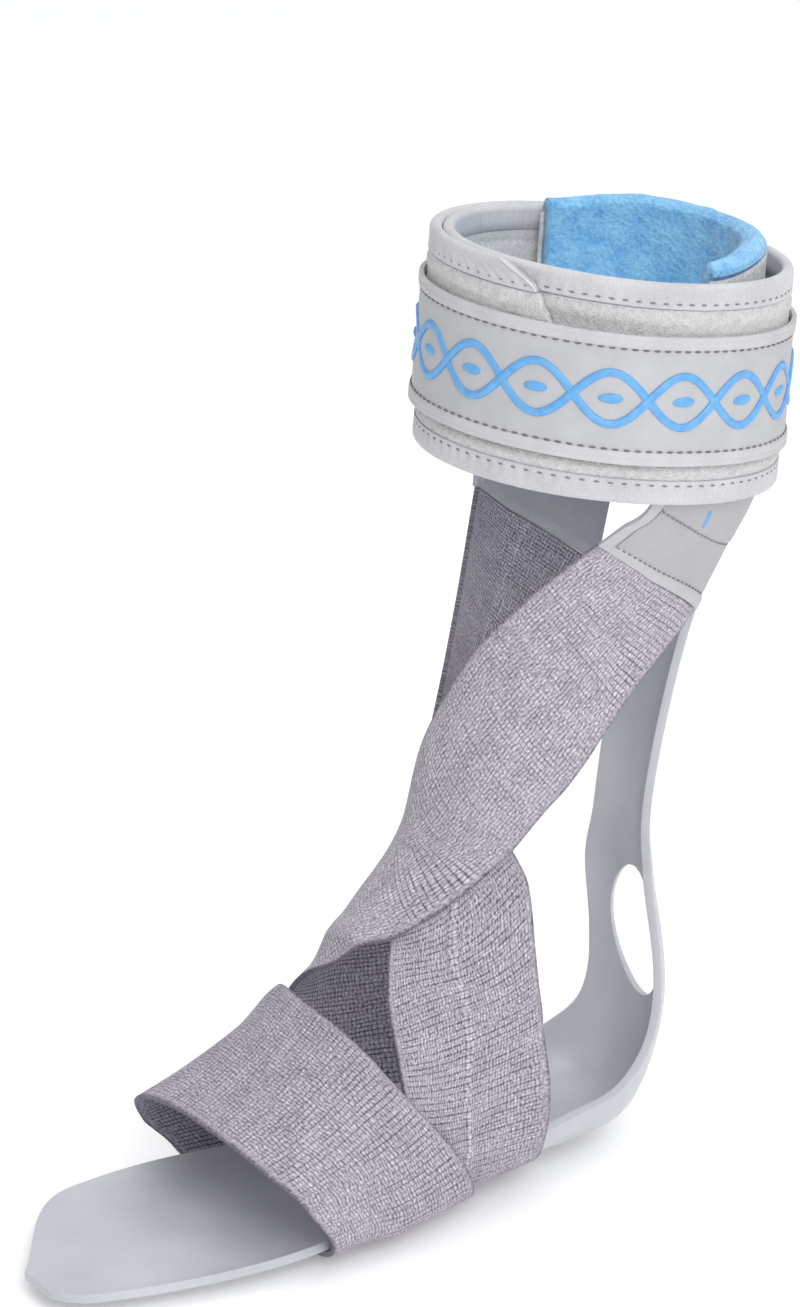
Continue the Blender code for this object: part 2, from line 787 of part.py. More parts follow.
clear_scene()
brace = bpy.data.collections.new("foot_drop_brace")
cutters = bpy.data.collections.new("cutters")
bpy.context.scene.collection.children.link(brace)
bpy.context.scene.collection.children.link(cutters)
made = {name: make_material(name) for name in MATERIALS}
make_splint(made["moulded_plastic"])
make_elastic(made["ribbed_elastic"])
make_tab("ankle_strap_tab", ANKLE_STRAP_ROWS[0], 1, made["smooth_strap"])
make_tab("stirrup_tab", STIRRUP_STRAP_ROWS[0], -1, made["smooth_strap"])
make_wrap(made["loop_fabric"])
make_bindings(made["bound_edge"])
make_cuff_strap(made["smooth_strap"])
make_pad(made["pad_fabric"], made["blue_lining"])
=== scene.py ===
import bisect
import math
from collections import namedtuple

import bmesh
import bpy
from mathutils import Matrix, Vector, noise
from mathutils.bvhtree import BVHTree


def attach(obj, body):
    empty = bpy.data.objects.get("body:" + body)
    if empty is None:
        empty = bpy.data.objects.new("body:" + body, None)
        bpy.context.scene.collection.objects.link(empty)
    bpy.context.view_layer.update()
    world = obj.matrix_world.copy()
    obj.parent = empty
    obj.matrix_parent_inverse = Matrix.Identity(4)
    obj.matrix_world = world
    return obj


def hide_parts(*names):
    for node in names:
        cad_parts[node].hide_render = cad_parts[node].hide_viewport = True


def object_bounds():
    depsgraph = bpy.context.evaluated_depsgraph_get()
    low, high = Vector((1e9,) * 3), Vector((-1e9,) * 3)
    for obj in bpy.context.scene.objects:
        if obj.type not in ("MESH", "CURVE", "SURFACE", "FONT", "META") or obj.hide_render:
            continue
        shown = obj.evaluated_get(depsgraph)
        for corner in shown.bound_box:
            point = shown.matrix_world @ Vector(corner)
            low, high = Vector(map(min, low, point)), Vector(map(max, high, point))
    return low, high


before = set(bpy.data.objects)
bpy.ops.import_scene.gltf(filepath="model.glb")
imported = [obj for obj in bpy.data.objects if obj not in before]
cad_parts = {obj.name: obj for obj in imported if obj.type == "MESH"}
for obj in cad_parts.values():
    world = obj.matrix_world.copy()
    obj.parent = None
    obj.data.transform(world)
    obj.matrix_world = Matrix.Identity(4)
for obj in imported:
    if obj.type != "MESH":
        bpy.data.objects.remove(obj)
cad_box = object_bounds()

# The view. The brace is seen from its outer front, a little from above, through a long lens. It
# stands on a white floor under a white sky, which is brightest overhead and darker on the left.
camera_azimuth = math.radians(57.3)
camera_elevation = math.radians(20.6)
camera_place = (1.409, -0.951, 0.820)
focal_pixels = 5250.0
photo_height = 1307.0
sensor_height = 36.0
camera = bpy.data.objects.new("camera", bpy.data.cameras.new("camera"))
camera.data.sensor_fit = "VERTICAL"
camera.data.sensor_height = sensor_height
camera.data.lens = focal_pixels / photo_height * sensor_height
camera.data.clip_end = 20.0
camera.location = camera_place
camera.rotation_euler = (math.pi / 2 - camera_elevation, 0.0, camera_azimuth)
bpy.context.scene.collection.objects.link(camera)
bpy.context.scene.camera = camera
bpy.context.scene.view_settings.view_transform = "Standard"


def set_inputs(owner, node, inputs):
    """Links the inputs for which a socket is given, and sets the others."""
    for socket, value in inputs.items():
        if isinstance(value, bpy.types.NodeSocket):
            owner.node_tree.links.new(value, node.inputs[socket])
        else:
            node.inputs[socket].default_value = value


def add_node(owner, kind, inputs, **settings):
    """A node of a material or of the sky."""
    node = owner.node_tree.nodes.new(kind)
    for key, value in settings.items():
        setattr(node, key, value)
    set_inputs(owner, node, inputs)
    return node


def add_maths(owner, operation, *values):
    inputs = dict(enumerate(values))
    return add_node(owner, "ShaderNodeMath", inputs, operation=operation).outputs[0]


def add_range(owner, value, source, target, **settings):
    """Maps the range source to the range target, and holds the values beyond its ends."""
    inputs = {"Value": value, "From Min": source[0], "From Max": source[1]}
    inputs.update({"To Min": target[0], "To Max": target[1]})
    return add_node(owner, "ShaderNodeMapRange", inputs, **settings).outputs[0]


def shade(material, inputs):
    """Sets or links inputs of a material's surface."""
    set_inputs(material, material.node_tree.nodes["Principled BSDF"], inputs)


def new_material(name, colour, roughness):
    material = bpy.data.materials.new(name)
    material.use_nodes = True
    shade(material, {"Base Color": (*colour, 1.0), "Roughness": roughness})
    return material


sky_low = 0.16
sky_overhead = 1.32
sky_sides = (0.55, 1.10)
sky_tint = (0.98, 0.99, 1.0, 1.0)
world = bpy.data.worlds.new("studio")
world.use_nodes = True
direction = add_node(world, "ShaderNodeTexCoord", {}).outputs["Generated"]
height = add_node(world, "ShaderNodeSeparateXYZ", {0: direction}).outputs["Z"]
brightness = add_range(
    world, height, (0.0, 1.0), (sky_low, sky_overhead), interpolation_type="SMOOTHSTEP"
)
to_right = (math.cos(camera_azimuth), math.sin(camera_azimuth), 0.0)
rightwards = add_node(
    world, "ShaderNodeVectorMath", {0: direction, 1: to_right}, operation="DOT_PRODUCT"
)
sideways = add_range(world, rightwards.outputs["Value"], (-1.0, 1.0), sky_sides)
strength = add_maths(world, "MULTIPLY", brightness, sideways)
background = world.node_tree.nodes["Background"]
set_inputs(world, background, {"Strength": strength, "Color": sky_tint})
bpy.context.scene.world = world

lamp_target = Vector((0.0, 0.0, 0.16))


def add_lamp(name, place, size, power):
    """A soft square lamp that faces the middle of the brace."""
    lamp = bpy.data.objects.new(name, bpy.data.lights.new(name, "AREA"))
    lamp.data.size = size
    lamp.data.energy = power
    lamp.location = place
    lamp.rotation_euler = (lamp_target - lamp.location).to_track_quat("-Z", "Y").to_euler()
    bpy.context.scene.collection.objects.link(lamp)


add_lamp("key_lamp", (1.65, -0.55, 1.30), size=1.1, power=16.0)
add_lamp("top_lamp", (0.2, 0.3, 2.4), size=2.4, power=8.0)

floor_clearance = 0.0005
floor_half_side = 6.0
floor_glow = 0.15
bm = bmesh.new()
bmesh.ops.create_grid(bm, x_segments=1, y_segments=1, size=floor_half_side)
bmesh.ops.translate(bm, verts=bm.verts, vec=(0.0, 0.0, cad_box[0][2] - floor_clearance))
floor_mesh = bpy.data.meshes.new("floor")
bm.to_mesh(floor_mesh)
bm.free()
floor = bpy.data.objects.new("floor", floor_mesh)
bpy.context.scene.collection.objects.link(floor)
floor_paint = new_material("floor_paint", (0.96, 0.96, 0.96), 0.95)
shade(floor_paint, {"Emission Color": (1.0, 1.0, 1.0, 1.0), "Emission Strength": floor_glow})
floor_mesh.materials.append(floor_paint)

# The splint: sole plate, heel cup, strut and calf plate in one moulding of grey polypropylene,
# 3 mm thick, polished round along its edges, with an oval opening behind the heel. It is moulded
# over a last, and every strap lies on the same outline of foot, leg and splint.
plate_thickness = 0.003
plate_edge_round = 0.0011
toe_reach = 0.200
instep_height = 0.104
foot_width = 0.100
leg_height = 0.190
leg_width = 0.074
cuff_middle_height = 0.2847
cuff_middle_back = 0.0375
cuff_inner_radius = 0.0582
cuff_taper = 0.0012
cuff_height = 0.076
cuff_lean = math.radians(4.9)
cuff_tilt = math.radians(8.0)
plate_room = 0.0022
heel_opening_width = 0.030
heel_opening_height = 0.052
heel_opening_rise = 0.064

FootRow = namedtuple("FootRow", "forward up turn top bottom outer inner top_power bottom_power")
FOOT_ROWS = [FootRow(*row) for row in (
    (1.000, 0.077, 90, 0.09, 1.00, 0.36, 0.38, 2.2, 8.0),
    (0.825, 0.096, 90, 0.15, 1.00, 0.45, 0.46, 2.2, 8.0),
    (0.600, 0.135, 90, 0.27, 1.00, 0.51, 0.47, 2.2, 6.0),
    (0.420, 0.192, 88, 0.46, 0.98, 0.49, 0.41, 2.1, 4.2),
    (0.260, 0.308, 70, 0.505, 0.92, 0.45, 0.38, 2.0, 3.0),
    (0.100, 0.500, 42, 0.565, 0.82, 0.39, 0.36, 2.0, 2.5),
    (0.030, 0.712, 27, 0.53, 0.74, 0.37, 0.35, 2.0, 2.3),
    (-0.015, 1.000, 14, 0.42, 0.54, 0.34, 0.33, 2.0, 2.1),
)]
LegRow = namedtuple("LegRow", "back up turn front rear outer inner")
LEG_ROWS = [LegRow(*row) for row in (
    (0.026, 0.684, 8, 0.48, 0.69, 0.446, 0.432),
    (0.095, 1.000, 8, 0.50, 0.69, 0.500, 0.500),
)]
CalfRow = namedtuple("CalfRow", "rise front side")
CALF_ROWS = [CalfRow(*row) for row in (
    (0.00, 0.79, 0.81),
    (0.50, 0.85, 0.92),
    (1.24, 0.87, 0.95),
)]
SplintRow = namedtuple("SplintRow", "station outer inner")
SPLINT_ROWS = [SplintRow(*row) for row in (
    (0.0, 0.82, 0.80),
    (0.9, 0.88, 0.88),
    (1.6, 0.92, 0.92),
    (2.4, 0.90, 0.90),
    (3.4, 0.88, 0.88),
    (4.4, 0.88, 0.88),
    (4.9, 0.87, 0.87),
    (5.3, 0.75, 0.75),
    (5.7, 0.64, 0.64),
    (6.3, 0.63, 0.63),
    (6.9, 0.61, 0.61),
    (7.6, 0.52, 0.52),
    (8.6, 0.50, 0.50),
    (9.6, 0.48, 0.48),
    (10.6, 0.52, 0.52),
    (11.6, 0.54, 0.54),
)]
splint_top_station = 11.55
toe_rounding = 0.42
inner_toe_rounding = 1.20
outer_tip_share = 0.62
inner_tip_share = -0.15
top_rounding = 0.36
top_share = 0.22


def ramp(low, high, value):
    share = min(max((value - low) / (high - low), 0.0), 1.0)
    return share * share * (3.0 - 2.0 * share)


def mix(first, second, share):
    return first + (second - first) * share


def through(rows, places, place):
    """The row at a place, on a smooth curve through the rows at the given places."""
    last = len(rows) - 1
    index = 0
    while index < last - 1 and places[index + 1] <= place:
        index += 1
    span = places[index + 1] - places[index]
    share = (place - places[index]) / span

    def slope(at):
        before, after = max(at - 1, 0), min(at + 1, last)
        reach = places[after] - places[before]
        return [(b - a) / reach * span for a, b in zip(rows[before], rows[after])]

    square, cube = share**2, share**3
    weights = (
        2 * cube - 3 * square + 1,
        cube - 2 * square + share,
        3 * square - 2 * cube,
        cube - square,
    )
    parts = zip(rows[index], slope(index), rows[index + 1], slope(index + 1))
    return [sum(w * v for w, v in zip(weights, values)) for values in parts]


def cuff_centre(rise):
    along = (rise - 0.5) * cuff_height
    back = cuff_middle_back + along * math.sin(cuff_lean)
    return Vector((0.0, back, cuff_middle_height + along * math.cos(cuff_lean)))


def cuff_radius(rise):
    return cuff_inner_radius - cuff_taper * (rise - 0.5)


def cuff_point(angle, rise, out):
    """A point out from the cuff's inner face: angle 0 is the front, 90 the outer side."""
    radius = cuff_radius(rise) + out
    turn = math.radians(angle)
    front = Vector((0.0, -math.cos(cuff_tilt), math.sin(cuff_tilt)))
    side = Vector((1.0, 0.0, 0.0))
    return cuff_centre(rise) + radius * (math.cos(turn) * front + math.sin(turn) * side)


def last_rows():
    """All sections of the last: place, turn, half widths up, down, out and in, and both powers."""
    rows = []
    for row in FOOT_ROWS:
        widths = [share * foot_width for share in (row.top, row.bottom, row.outer, row.inner)]
        place = [-row.forward * toe_reach, row.up * instep_height, row.turn]
        rows.append(place + widths + [row.top_power, row.bottom_power])
    for row in LEG_ROWS:
        widths = [share * leg_width for share in (row.front, row.rear, row.outer, row.inner)]
        place = [row.back * leg_height, row.up * leg_height, row.turn]
        rows.append(place + widths + [2.0, 2.0])
    for row in CALF_ROWS:
        centre, radius = cuff_centre(row.rise), cuff_radius(row.rise)
        widths = [row.front * radius, radius - plate_room, row.side * radius, row.side * radius]
        place = [centre.y, centre.z, math.degrees(cuff_tilt)]
        rows.append(place + widths + [2.0, 2.0])
    return rows


LAST = last_rows()
LAST_PLACES = list(range(len(LAST)))
sole_cut_slope = 0.3
sole_cut_power = 14.0


def last_section(station):
    row = through(LAST, LAST_PLACES, station)
    slope = math.sin(math.radians(row[2]))
    if slope > sole_cut_slope:
        to_sole = (row[1] + plate_thickness) / slope
        down = min(row[4], 2.0 * to_sole)
        row[4] = (down**-sole_cut_power + to_sole**-sole_cut_power) ** (-1.0 / sole_cut_power)
    return row


def last_point(station, angle, out):
    """A point out from the last: stations count its sections from the toes up to the calf."""
    y, z, turn, up, down, outer, inner, up_power, down_power = last_section(station)
    turn = math.radians(turn)
    front = Vector((0.0, -math.cos(turn), math.sin(turn)))
    along, across = math.cos(math.radians(angle)), math.sin(math.radians(angle))
    reach, power = (up, up_power) if along >= 0 else (down, down_power)
    width = outer if across >= 0 else inner
    round_off = (abs(along) ** power + abs(across) ** power) ** (-1.0 / power)
    shift = (reach + out) * along * round_off * front
    return Vector(((width + out) * across * round_off, y, z)) + shift


def splint_edge(station, share, side):
    power = last_section(station)[8]
    height = (1.0 - abs(share) ** power) ** (1.0 / power)
    return 180.0 - side * math.degrees(math.atan2(share, height))


def splint_sides(station):
    """The angles of the splint's outer and inner edge at a station."""
    _, outer, inner = through(SPLINT_ROWS, [row.station for row in SPLINT_ROWS], station)
    from_toe = min(station / toe_rounding, 1.0)
    outer *= mix(outer_tip_share, 1.0, math.sqrt(1.0 - (1.0 - from_toe) ** 2))
    inner_from_toe = min(station / inner_toe_rounding, 1.0)
    inner *= mix(inner_tip_share, 1.0, math.sin(inner_from_toe * math.pi / 2))
    from_top = min((splint_top_station - station) / top_rounding, 1.0)
    narrowing = mix(top_share, 1.0, math.sqrt(1.0 - (1.0 - from_top) ** 2))
    return splint_edge(station, outer * narrowing, 1), splint_edge(station, inner * narrowing, -1)


weld_distance = 0.00002
sharp_edge = math.radians(50)
in_cuff = cuff_centre(0.5)
in_instep = Vector((0.0, 0.0, 0.5 * instep_height))


def gathered(share, strength):
    """A share moved so that lines at even shares lie closer together at both ends."""
    return share - strength * math.sin(2 * math.pi * share) / (2 * math.pi)


def cloth_grid(along, across, place, size, closed=False, gather=0.0):
    """A sheet with its point at shares u and v at place(u, v), and a UV map in metres of cloth."""
    bm = bmesh.new()
    uv_layer = bm.loops.layers.uv.new("cloth")
    bmesh.ops.create_grid(bm, x_segments=along, y_segments=across, size=0.5)
    shares = {}
    for vert in bm.verts:
        shares[vert] = (vert.co.x + 0.5, gathered(vert.co.y + 0.5, gather))
    for face in bm.faces:
        for loop in face.loops:
            u, v = shares[loop.vert]
            loop[uv_layer].uv = (u * size[0], v * size[1])
    for vert, (u, v) in shares.items():
        vert.co = place(u, v)
    if closed:
        bmesh.ops.remove_doubles(bm, verts=bm.verts, dist=weld_distance)
    return bm


def face_outwards(bm, inside):
    """Turns the faces of an open sheet away from the point inside it."""
    bm.normal_update()
    outwards = sum(face.normal.dot(face.calc_center_median() - inside) > 0 for face in bm.faces)
    if outwards < len(bm.faces) / 2:
        bmesh.ops.reverse_faces(bm, faces=bm.faces)


def show_piece(name, bm, material, slot, *replaced):
    """Links a finished mesh as a piece of the brace."""
    mesh = bpy.data.meshes.new(name)
    bm.to_mesh(mesh)
    bm.free()
    mesh.shade_smooth()
    mesh.materials.append(material)
    piece = bpy.data.objects.new(name, mesh)
    bpy.context.scene.collection.objects.link(piece)
    if replaced:
        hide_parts(*replaced)
    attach(piece, "root")
    return piece


def show_wall(
    name, bm, inside, material, slot, node, thickness, offset=1.0, edge_round=0.0005, segments=2
):
    """Links a sheet as a wall with rounded edges, which faces away from the point inside it."""
    face_outwards(bm, inside)
    piece = show_piece(name, bm, material, slot, node)
    wall = piece.modifiers.new("wall", "SOLIDIFY")
    wall.thickness = thickness
    wall.offset = offset
    wall.use_even_offset = True
    edge = piece.modifiers.new("edge", "BEVEL")
    edge.width = edge_round
    edge.segments = segments
    edge.limit_method = "ANGLE"
    edge.angle_limit = sharp_edge
    return piece


def object_place(material):
    return add_node(material, "ShaderNodeTexCoord", {}).outputs["Object"]


def cloth_place(material):
    return add_node(material, "ShaderNodeUVMap", {}, uv_map="cloth").outputs["UV"]


def add_noise(material, scale, detail=2.0):
    """Noise of one scale through the object, or of two scales along and across the cloth."""
    if isinstance(scale, tuple):
        stretch = {"Vector": cloth_place(material), "Scale": (*scale, 1.0)}
        place = add_node(material, "ShaderNodeMapping", stretch).outputs["Vector"]
        scale = 1.0
    else:
        place = object_place(material)
    inputs = {"Vector": place, "Scale": scale, "Detail": detail}
    return add_node(material, "ShaderNodeTexNoise", inputs).outputs["Fac"]


def set_colours(material, factor, *stops):
    """Colours the surface by a ramp over a factor: pairs of position and colour."""
    node = add_node(material, "ShaderNodeValToRGB", {"Fac": factor})
    elements = node.color_ramp.elements
    while len(elements) < len(stops):
        elements.new(0.5)
    for element, (position, colour) in zip(elements, stops):
        element.position = position
        element.color = (*colour, 1.0)
    shade(material, {"Base Color": node.outputs["Color"]})


def add_bump(material, height, distance, strength):
    inputs = {"Height": height, "Distance": distance, "Strength": strength}
    shade(material, {"Normal": add_node(material, "ShaderNodeBump", inputs).outputs["Normal"]})


moulded_plastic = new_material("moulded_plastic", (0.56, 0.57, 0.61), 0.36)
cloud = add_noise(moulded_plastic, 26.0, 4.0)
set_colours(moulded_plastic, cloud, (0.3, (0.52, 0.53, 0.57)), (0.7, (0.61, 0.62, 0.66)))
flow = add_noise(moulded_plastic, 90.0, 3.0)
orange_peel = add_noise(moulded_plastic, 900.0)
relief = add_maths(moulded_plastic, "MULTIPLY_ADD", orange_peel, 0.25, flow)
add_bump(moulded_plastic, relief, 0.0004, 0.5)
scuffs = add_noise(moulded_plastic, 240.0, 6.0)
shade(moulded_plastic, {
    "Roughness": add_range(moulded_plastic, scuffs, (0.35, 0.75), (0.30, 0.46)),
    "Subsurface Weight": 0.06,
    "Subsurface Radius": (0.003, 0.003, 0.003),
})

end_gather = 0.7
behind_leg = 0.02
rim_zone = 1.40
smooth_zone = 1.45
smooth_rounds = 12


def splint_place(u, v):
    """More lines of points near the toe end and the top, where the outline is round."""
    station = splint_top_station * gathered(u, end_gather)
    left, right = splint_sides(station)
    return last_point(station, mix(left, right, v), 0.0)


def opening_reach(point):
    """1 on the rim of the oval opening, which is cut straight back through the heel."""
    across = point.x / (heel_opening_width / 2)
    up = (point.z - heel_opening_rise) / (heel_opening_height / 2)
    return math.hypot(across, up) if point.y > behind_leg else math.inf


def smooth(bm, verts):
    bmesh.ops.smooth_vert(
        bm, verts=verts, factor=0.5, use_axis_x=True, use_axis_y=True, use_axis_z=True
    )


bm = cloth_grid(300, 46, splint_place, size=(0.5, 0.07))
moulded_face = BVHTree.FromBMesh(bm)
cut_away = [face for face in bm.faces if opening_reach(face.calc_center_median()) < 1.0]
bmesh.ops.delete(bm, context="FACES", geom=cut_away)
rim_edges = [
    edge for edge in bm.edges
    if edge.is_boundary and max(opening_reach(vert.co) for vert in edge.verts) < rim_zone
]


def rim_turn(vert):
    across = vert.co.x / heel_opening_width
    return math.atan2((vert.co.z - heel_opening_rise) / heel_opening_height, across)


first_turn = rim_turn(rim_edges[0].verts[0])
rim = {vert: rim_turn(vert) - first_turn for edge in rim_edges for vert in edge.verts}
for count, vert in enumerate(sorted(rim, key=lambda vert: rim[vert] % (2 * math.pi))):
    turn = first_turn + 2 * math.pi * count / len(rim)
    x = heel_opening_width / 2 * math.cos(turn)
    z = heel_opening_rise + heel_opening_height / 2 * math.sin(turn)
    vert.co = moulded_face.ray_cast(Vector((x, behind_leg, z)), Vector((0.0, 1.0, 0.0)))[0]
round_rim = [
    vert for vert in bm.verts
    if not vert.is_boundary and opening_reach(vert.co) < smooth_zone
]
for _ in range(smooth_rounds):
    smooth(bm, round_rim)
    for vert in round_rim:
        vert.co = moulded_face.find_nearest(vert.co)[0]
splint = show_wall(
    "splint_moulding", bm, in_instep, moulded_plastic, "moulded_plastic", "splint",
    plate_thickness, offset=-1.0, edge_round=plate_edge_round, segments=3,
)

# The calf pad: foam a little under 10 mm thick inside the calf plate, in a grey fleece cover. Its
# leg side is lined with soft blue pile, which rolls over the top edge and is sewn down behind it.
node_gap = 0.0003
pad_cover_thickness = 0.0015
pad_lining_thickness = 0.0080
pad_side_angle = 94.0
pad_top_reach = 46.0
pad_bottom_station = 10.06
pad_side_top_station = 11.76
pad_back_top_station = 11.84
pad_roll = 0.10
pad_side_share = 0.45
pad_side_power = 0.35
PadRow = namedtuple("PadRow", "rise outer_face inwards")
PAD_ROLL_ROWS = [PadRow(*row) for row in (
    (0.55, True, 0.12),
    (0.85, True, 0.45),
    (1.00, True, 1.00),
    (0.88, False, 0.45),
    (0.55, False, 0.00),
)]
pad_seam_step = (0.012, 0.022)
pad_foot_share = 0.25
pad_full_share = 0.6
pile_wave = 0.0007
pile_wave_scale = 160.0
pile_depth = 0.001


def pad_top(angle):
    from_side = min(angle, 360.0 - angle) - pad_side_angle
    return mix(pad_side_top_station, pad_back_top_station, ramp(0.0, pad_top_reach, from_side))


pad_outer = -(plate_thickness + node_gap)
pad_under_cover = pad_outer - pad_cover_thickness - node_gap
pad_inner = pad_under_cover - pad_lining_thickness


def pad_cover_place(u, v):
    angle = mix(pad_side_angle, 360.0 - pad_side_angle, u)
    station = mix(pad_bottom_station, pad_top(angle) - pad_roll, v)
    return last_point(station, angle, pad_outer)


def pad_section(angle):
    """The lining's section at an angle, as a closed outline of stations and distances outwards."""
    top = pad_top(angle)
    seam = top - pad_roll
    share = (angle - pad_side_angle) / (360.0 - 2 * pad_side_angle)
    from_end = max(math.sin(math.pi * share), 0.0) ** pad_side_power
    face = mix(pad_under_cover, pad_inner, mix(pad_side_share, 1.0, from_end))
    middle = (pad_outer + face) / 2
    outline = [
        (pad_bottom_station, pad_under_cover),
        (mix(pad_bottom_station, seam, 0.5), pad_under_cover),
        (seam + pad_seam_step[0], pad_under_cover),
        (seam + pad_seam_step[1], pad_outer),
    ]
    for row in PAD_ROLL_ROWS:
        side = pad_outer if row.outer_face else face
        outline.append((mix(seam, top, row.rise), mix(side, middle, row.inwards)))
    outline += [
        (mix(pad_bottom_station, seam, pad_full_share), face),
        (pad_bottom_station, mix(face, pad_under_cover, pad_foot_share)),
    ]
    return outline


def pad_lining_place(u, v):
    angle = mix(pad_side_angle, 360.0 - pad_side_angle, u)
    outline = pad_section(angle)
    outline.append(outline[0])
    at = v * (len(outline) - 1)
    index = min(int(at), len(outline) - 2)
    station, out = (mix(a, b, at - index) for a, b in zip(outline[index], outline[index + 1]))
    point = last_point(station, angle, out)
    if out < pad_under_cover - pile_depth:
        outward = (point - in_cuff).normalized()
        point += outward * pile_wave * noise.noise(point * pile_wave_scale)
    return point


def make_fibrous(name, colour, roughness, grains, stops, depth, strength, sheen=0.0):
    """Fibres: colour and relief follow the sum of noises, each given by its scale and detail."""
    material = new_material(name, colour, roughness)
    height = add_noise(material, *grains[0])
    for grain in grains[1:]:
        height = add_maths(material, "ADD", height, add_noise(material, *grain))
    mean = add_maths(material, "MULTIPLY", height, 1.0 / len(grains))
    set_colours(material, mean, *stops)
    add_bump(material, height, depth, strength)
    shade(material, {"Sheen Weight": sheen})
    return material


def make_pile(name, colour, low, high):
    grains = [(750.0, 3.0), (160.0, 3.0)]
    stops = [(0.35, low), (0.65, high)]
    pile = make_fibrous(name, colour, 0.95, grains, stops, 0.0012, 0.9, sheen=0.35)
    shade(pile, {"Sheen Roughness": 0.6})
    return pile


def close_up(bm):
    """Fills the ends of a tube and turns its faces outwards."""
    bmesh.ops.holes_fill(bm, edges=[edge for edge in bm.edges if edge.is_boundary], sides=0)
    bmesh.ops.recalc_face_normals(bm, faces=bm.faces)


pad_fleece = make_pile("pad_fleece", (0.62, 0.63, 0.66), (0.50, 0.51, 0.54), (0.72, 0.73, 0.76))
blue_pile = make_pile("blue_pile", (0.16, 0.45, 0.86), (0.12, 0.41, 0.79), (0.31, 0.67, 0.95))

bm = cloth_grid(90, 34, pad_cover_place, size=(0.17, 0.06))
pad_cover = show_wall(
    "pad_fleece_cover", bm, in_cuff, pad_fleece, "pad_fabric", "calf_pad_cover",
    pad_cover_thickness, offset=-1.0,
)

lining_smooth_rounds = 4
bm = cloth_grid(90, 120, pad_lining_place, size=(0.17, 0.16), closed=True)
close_up(bm)
for _ in range(lining_smooth_rounds):
    smooth(bm, bm.verts)
pad_lining = show_piece("pad_blue_lining", bm, blue_pile, "blue_lining", "calf_pad_lining")

# The wrap of the cuff: brushed loop fabric on thin foam, wound round calf and splint so that it
# overlaps at the front. The upper corner of its free end lies outside, on the slant, behind the
# strap.
wrap_thickness = 0.0032
binding_lip = 0.0005
binding_height = 0.0086
wrap_start = -100.0
wrap_end = 386.5
wrap_end_slant = 40.0
wrap_end_reach = 60.0
wrap_end_corner = 10.5
inner_layer_ramp = (30.0, 75.0)
outer_layer_ramp = (200.0, 250.0)
strap_fall_ramp = (56.0, 88.0)
tongue_ramp = (248.0, 310.0)
tongue_rise = 0.45
flare_start = (-78.0, -42.0)
flare_rise = (0.12, 0.42)
lower_flare = 0.8
wrap_step = wrap_thickness + 2 * binding_lip + node_gap
wrap_length = math.radians(wrap_end - wrap_start) * cuff_inner_radius


def wrap_layer(angle, rise):
    free = ramp(*flare_start, angle) * (1.0 - ramp(*flare_rise, rise))
    inner = mix(-1.0, lower_flare, free) * (1.0 - ramp(*inner_layer_ramp, angle))
    outer = ramp(*outer_layer_ramp, angle)
    return (inner + outer) * wrap_step / 2


def over_wrap(angle):
    rise = ramp(*outer_layer_ramp, angle)
    fall = 1.0 - ramp(*strap_fall_ramp, angle)
    return max(rise, fall) * wrap_step / 2


def slanted(angle, rise):
    into_binding = max(0.0, 1.0 - (1.0 - rise) * cuff_height / binding_height)
    lag = (1.0 - rise) * wrap_end_slant - into_binding**2 * wrap_end_corner
    return angle + ramp(wrap_end - wrap_end_reach, wrap_end, angle) * lag


strip_ridges = (0.150, 0.832)
strip_ridge_width = 0.016
strip_ridge_height = 0.0006


def wrap_place(u, v):
    angle = mix(wrap_start, wrap_end, u)
    low = (binding_height + node_gap) / cuff_height
    bottom = mix(low, tongue_rise, ramp(*tongue_ramp, angle))
    rise = mix(bottom, 1.0 - low, v)
    ridge = max(math.exp(-(((rise - at) / strip_ridge_width) ** 2)) for at in strip_ridges)
    out = wrap_layer(angle, rise) + strip_ridge_height * ridge
    return cuff_point(slanted(angle, rise), rise, out)


loop_fabric = make_fibrous(
    "loop_fabric", (0.60, 0.60, 0.61), 0.95, [(1500.0, 4.0), (420.0, 3.0)],
    [(0.32, (0.52, 0.52, 0.53)), (0.5, (0.66, 0.66, 0.67)), (0.68, (0.79, 0.79, 0.79))],
    0.0008, 0.9, sheen=0.4,
)
bm = cloth_grid(420, 64, wrap_place, size=(wrap_length, cuff_height))
wrap = show_wall(
    "cuff_wrap_fabric", bm, in_cuff, loop_fabric, "loop_fabric", "cuff_wrap", wrap_thickness,
    edge_round=0.0006,
)

# The bindings: soft knitted tape folded over the upper and the lower edge of the wrap and stitched
# through, a little thicker than the wrap and round at the rim. Each stitch draws in a small pucker.
bead = wrap_thickness / 2 + binding_lip
rim_steps = 10
face_steps = 16
seam_inset = 0.0017
binding_pitch = 0.0044
binding_stitch = (0.0026, 0.0008, 0.0005)
pucker_depth = 0.0005
pucker_mean = 0.6
pucker_below = 0.0011
pucker_above = 0.0030
stitch_sink = 0.8


def binding_outline(layer_out):
    """The tape's section, round the rim, as heights above its inner edge and distances outwards."""
    inner, outer = layer_out - binding_lip, layer_out + wrap_thickness + binding_lip
    straight = binding_height - bead
    middle = (outer + inner) / 2
    outline = [(0.0, inner), (straight / 2, inner), (straight, inner)]
    for step in range(1, rim_steps):
        turn = step * math.pi / rim_steps
        outline.append((straight + bead * math.sin(turn), middle - bead * math.cos(turn)))
    outline += [(straight * (1 - step / face_steps), outer) for step in range(face_steps + 1)]
    return outline


def binding_point(top, angle, up, out):
    """A point of a binding, up from its inner edge, and the angle at which it lies."""
    rise = (binding_height - up) / cuff_height
    if top:
        rise = 1.0 - rise
        angle = slanted(angle, rise)
    return cuff_point(angle, rise, out), angle


section_points = len(binding_outline(0.0))
face_first = section_points - face_steps - 1


